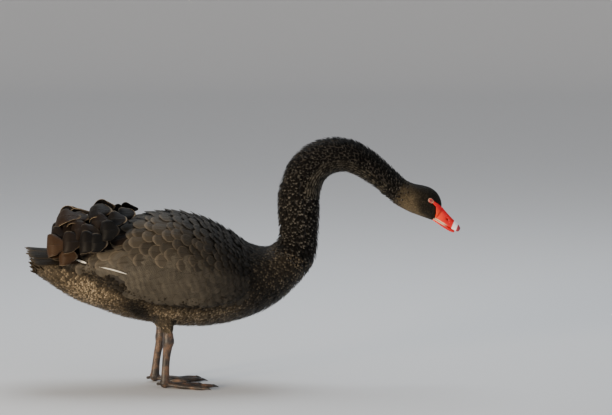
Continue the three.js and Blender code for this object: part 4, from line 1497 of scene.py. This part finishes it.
# %% Toes
TOES = {
    "inner": {"yaw": 24, "length": 84, "half": 5.2},
    "middle": {"yaw": 2, "length": 110, "half": 5.8},
    "outer": {"yaw": -21, "length": 102, "half": 5.4},
}
TOE_HEIGHTS = (9.0, 4.6)  # at the knuckle and at the tip
HIND_TOE = {"yaw": 168, "length": 20, "half": 4, "heights": (15, 9)}
TOE_SCUTE_PITCH = 3.4


def level_axes(yaw):
    """The directions along a toe and to its side."""
    return np.array([math.cos(yaw), math.sin(yaw), 0]), np.array([-math.sin(yaw), math.cos(yaw), 0])


def toe_plan(leg):
    """The heel's place, and each front toe with its own direction and the place of its tip."""
    heel = np.array([leg["heel"], leg["side"] * FOOT_SPREAD, 0.0])
    plan = {}
    for name, toe in TOES.items():
        yaw = math.radians(toe["yaw"]) * -leg["side"]
        tip = heel + toe["length"] * level_axes(yaw)[0]
        plan[name] = {**toe, "yaw": yaw, "tip": tip, "heights": TOE_HEIGHTS}
    return heel, plan


def toe_point(start, toe):
    ahead, beside = level_axes(toe["yaw"])
    length, (root_height, tip_height) = toe["length"], toe["heights"]

    def point(u, v):
        joint = 1 + 0.13 * np.cos(2 * np.pi * u * 2.5)
        end = np.sqrt(np.clip(1 - np.clip((u - 0.92) / 0.085, 0, 1) ** 2, 0.02, 1))
        size = toe["half"] * (1.12 - 0.34 * u) * joint * end
        turn = 2 * np.pi * v
        z = root_height + (tip_height - root_height) * np.minimum(u * 1.8, 1)
        scute = 0.22 * np.clip(np.sin(turn), 0, 1) * (u * length / TOE_SCUTE_PITCH % 1.0)
        made = start + np.outer(u * length, ahead) + np.outer((size + scute) * np.cos(turn), beside)
        made[:, 2] = np.maximum(z + (size + scute) * 0.92 * np.sin(turn), 0.05)
        return made

    return point


# %% Web and feet
WEB_THICKNESS = 0.002  # in metres
KNUCKLE = Vector((12.0, 10.2, 11.8))
KNUCKLE_HEIGHT = 12.0
FOOT_VOXEL = 1.0


def build_web(tips, heel):
    """A thin sheet from the heel to a front edge that curves back between the toe tips."""
    tips = np.array(tips)
    middles = (tips[:-1] + tips[1:]) / 2 * 0.8 + heel * 0.2

    def point(u, v):
        share = v * 2
        gap = np.where(share < 1, 0, 1)
        s = (share - gap)[..., None]
        rim = tips[gap] * (1 - s) ** 2 + 2 * middles[gap] * s * (1 - s) + tips[gap + 1] * s**2
        sag = np.sin(np.pi * (share % 1.0))
        made = heel + (rim - heel) * (0.04 + 0.96 * u)[..., None]
        made[..., 2] = 2.9 - 0.9 * sag * u + 3.2 * (1 - u) ** 2 + 0.35 * np.sin(u * 26 + share * 3) * sag
        return made

    bm = bent_grid(point, 50, 60)
    bmesh.ops.solidify(bm, geom=bm.faces[:], thickness=WEB_THICKNESS)
    bmesh.ops.recalc_face_normals(bm, faces=bm.faces)
    return bm


def build_knuckle(heel):
    bm = bmesh.new()
    bmesh.ops.create_icosphere(bm, subdivisions=3, radius=1.0)
    bmesh.ops.scale(bm, vec=KNUCKLE * METRES_PER_MM, verts=bm.verts)
    bmesh.ops.translate(bm, vec=Vector((heel[0], heel[1], KNUCKLE_HEIGHT)) * METRES_PER_MM, verts=bm.verts)
    return bm


def build_foot(name, leg):
    heel, plan = toe_plan(leg)
    hind_toe = HIND_TOE | {"yaw": math.radians(HIND_TOE["yaw"]) * -leg["side"]}
    parts = [loft(toe_point(heel, toe), 60, 20) for toe in plan.values()]
    parts.append(loft(toe_point(heel, hind_toe), 20, 16))
    parts.append(build_knuckle(heel))
    parts.append(build_web([toe["tip"] * 0.93 + heel * 0.07 for toe in plan.values()], heel))
    parts.append(loft(shank_point(leg), 150, 40))
    return fuse(joined(name, parts), FOOT_VOXEL, 2)


# %% Claws
CLAW_LENGTH = 11.0
CLAW_ROOT = 3.0  # length that is sunk in the toe


def build_claw(toe):
    ahead, beside = level_axes(toe["yaw"])
    start = toe["tip"] - CLAW_ROOT * ahead

    def point(u, v):
        size = toe["half"] * (0.66 - 0.56 * u)
        turn = 2 * np.pi * v
        reach = u * (CLAW_LENGTH + CLAW_ROOT)
        made = start + np.outer(reach, ahead) + np.outer(size * 0.8 * np.cos(turn), beside)
        made[:, 2] = np.maximum(5.2 - 3.4 * u**2 + size * np.sin(turn), 0.1)
        return made

    return loft(point, 16, 14)


# %% Leg skin and claw horn
def leg_material():
    """Dark furrows between small scales, and paler clouds where the skin is worn."""
    material, tree, shader = new_material("scaled leg skin")
    position = object_position(tree)
    cells = position.into("ShaderNodeTexVoronoi", feature="DISTANCE_TO_EDGE")
    feed(cells.inputs["Scale"], 420.0)
    furrow = Wire(cells, "Distance").ramp(0.0, 0.16)
    clouds = position.noise(48.0)
    skin = clouds.ramp(0.40, 0.66).mix((0.024, 0.018, 0.015), (0.200, 0.108, 0.060))
    fill(shader, {
        "Base Color": furrow.mix((0.008, 0.006, 0.006), skin),
        "Roughness": clouds * 0.3 + 0.25,
        "Normal": relief(furrow, 0.0003),
    })
    return material


LEG_SKIN = leg_material()
CLAW_HORN = mottled("dark claw horn", 260.0, (0.007, 0.006, 0.005), (0.035, 0.026, 0.02), 0.35, 0.0002)
for side_name, leg in LEGS.items():
    foot = build_foot(f"leg_{side_name}", leg)
    dress(foot, LEG_SKIN, "leg_skin", f"shank_{side_name}", f"foot_{side_name}")
    for toe_name, toe in toe_plan(leg)[1].items():
        claw = object_from(build_claw(toe), f"toe_claw_{side_name}_{toe_name}")
        dress(claw, CLAW_HORN, "claw", f"claw_{side_name}_{toe_name}")
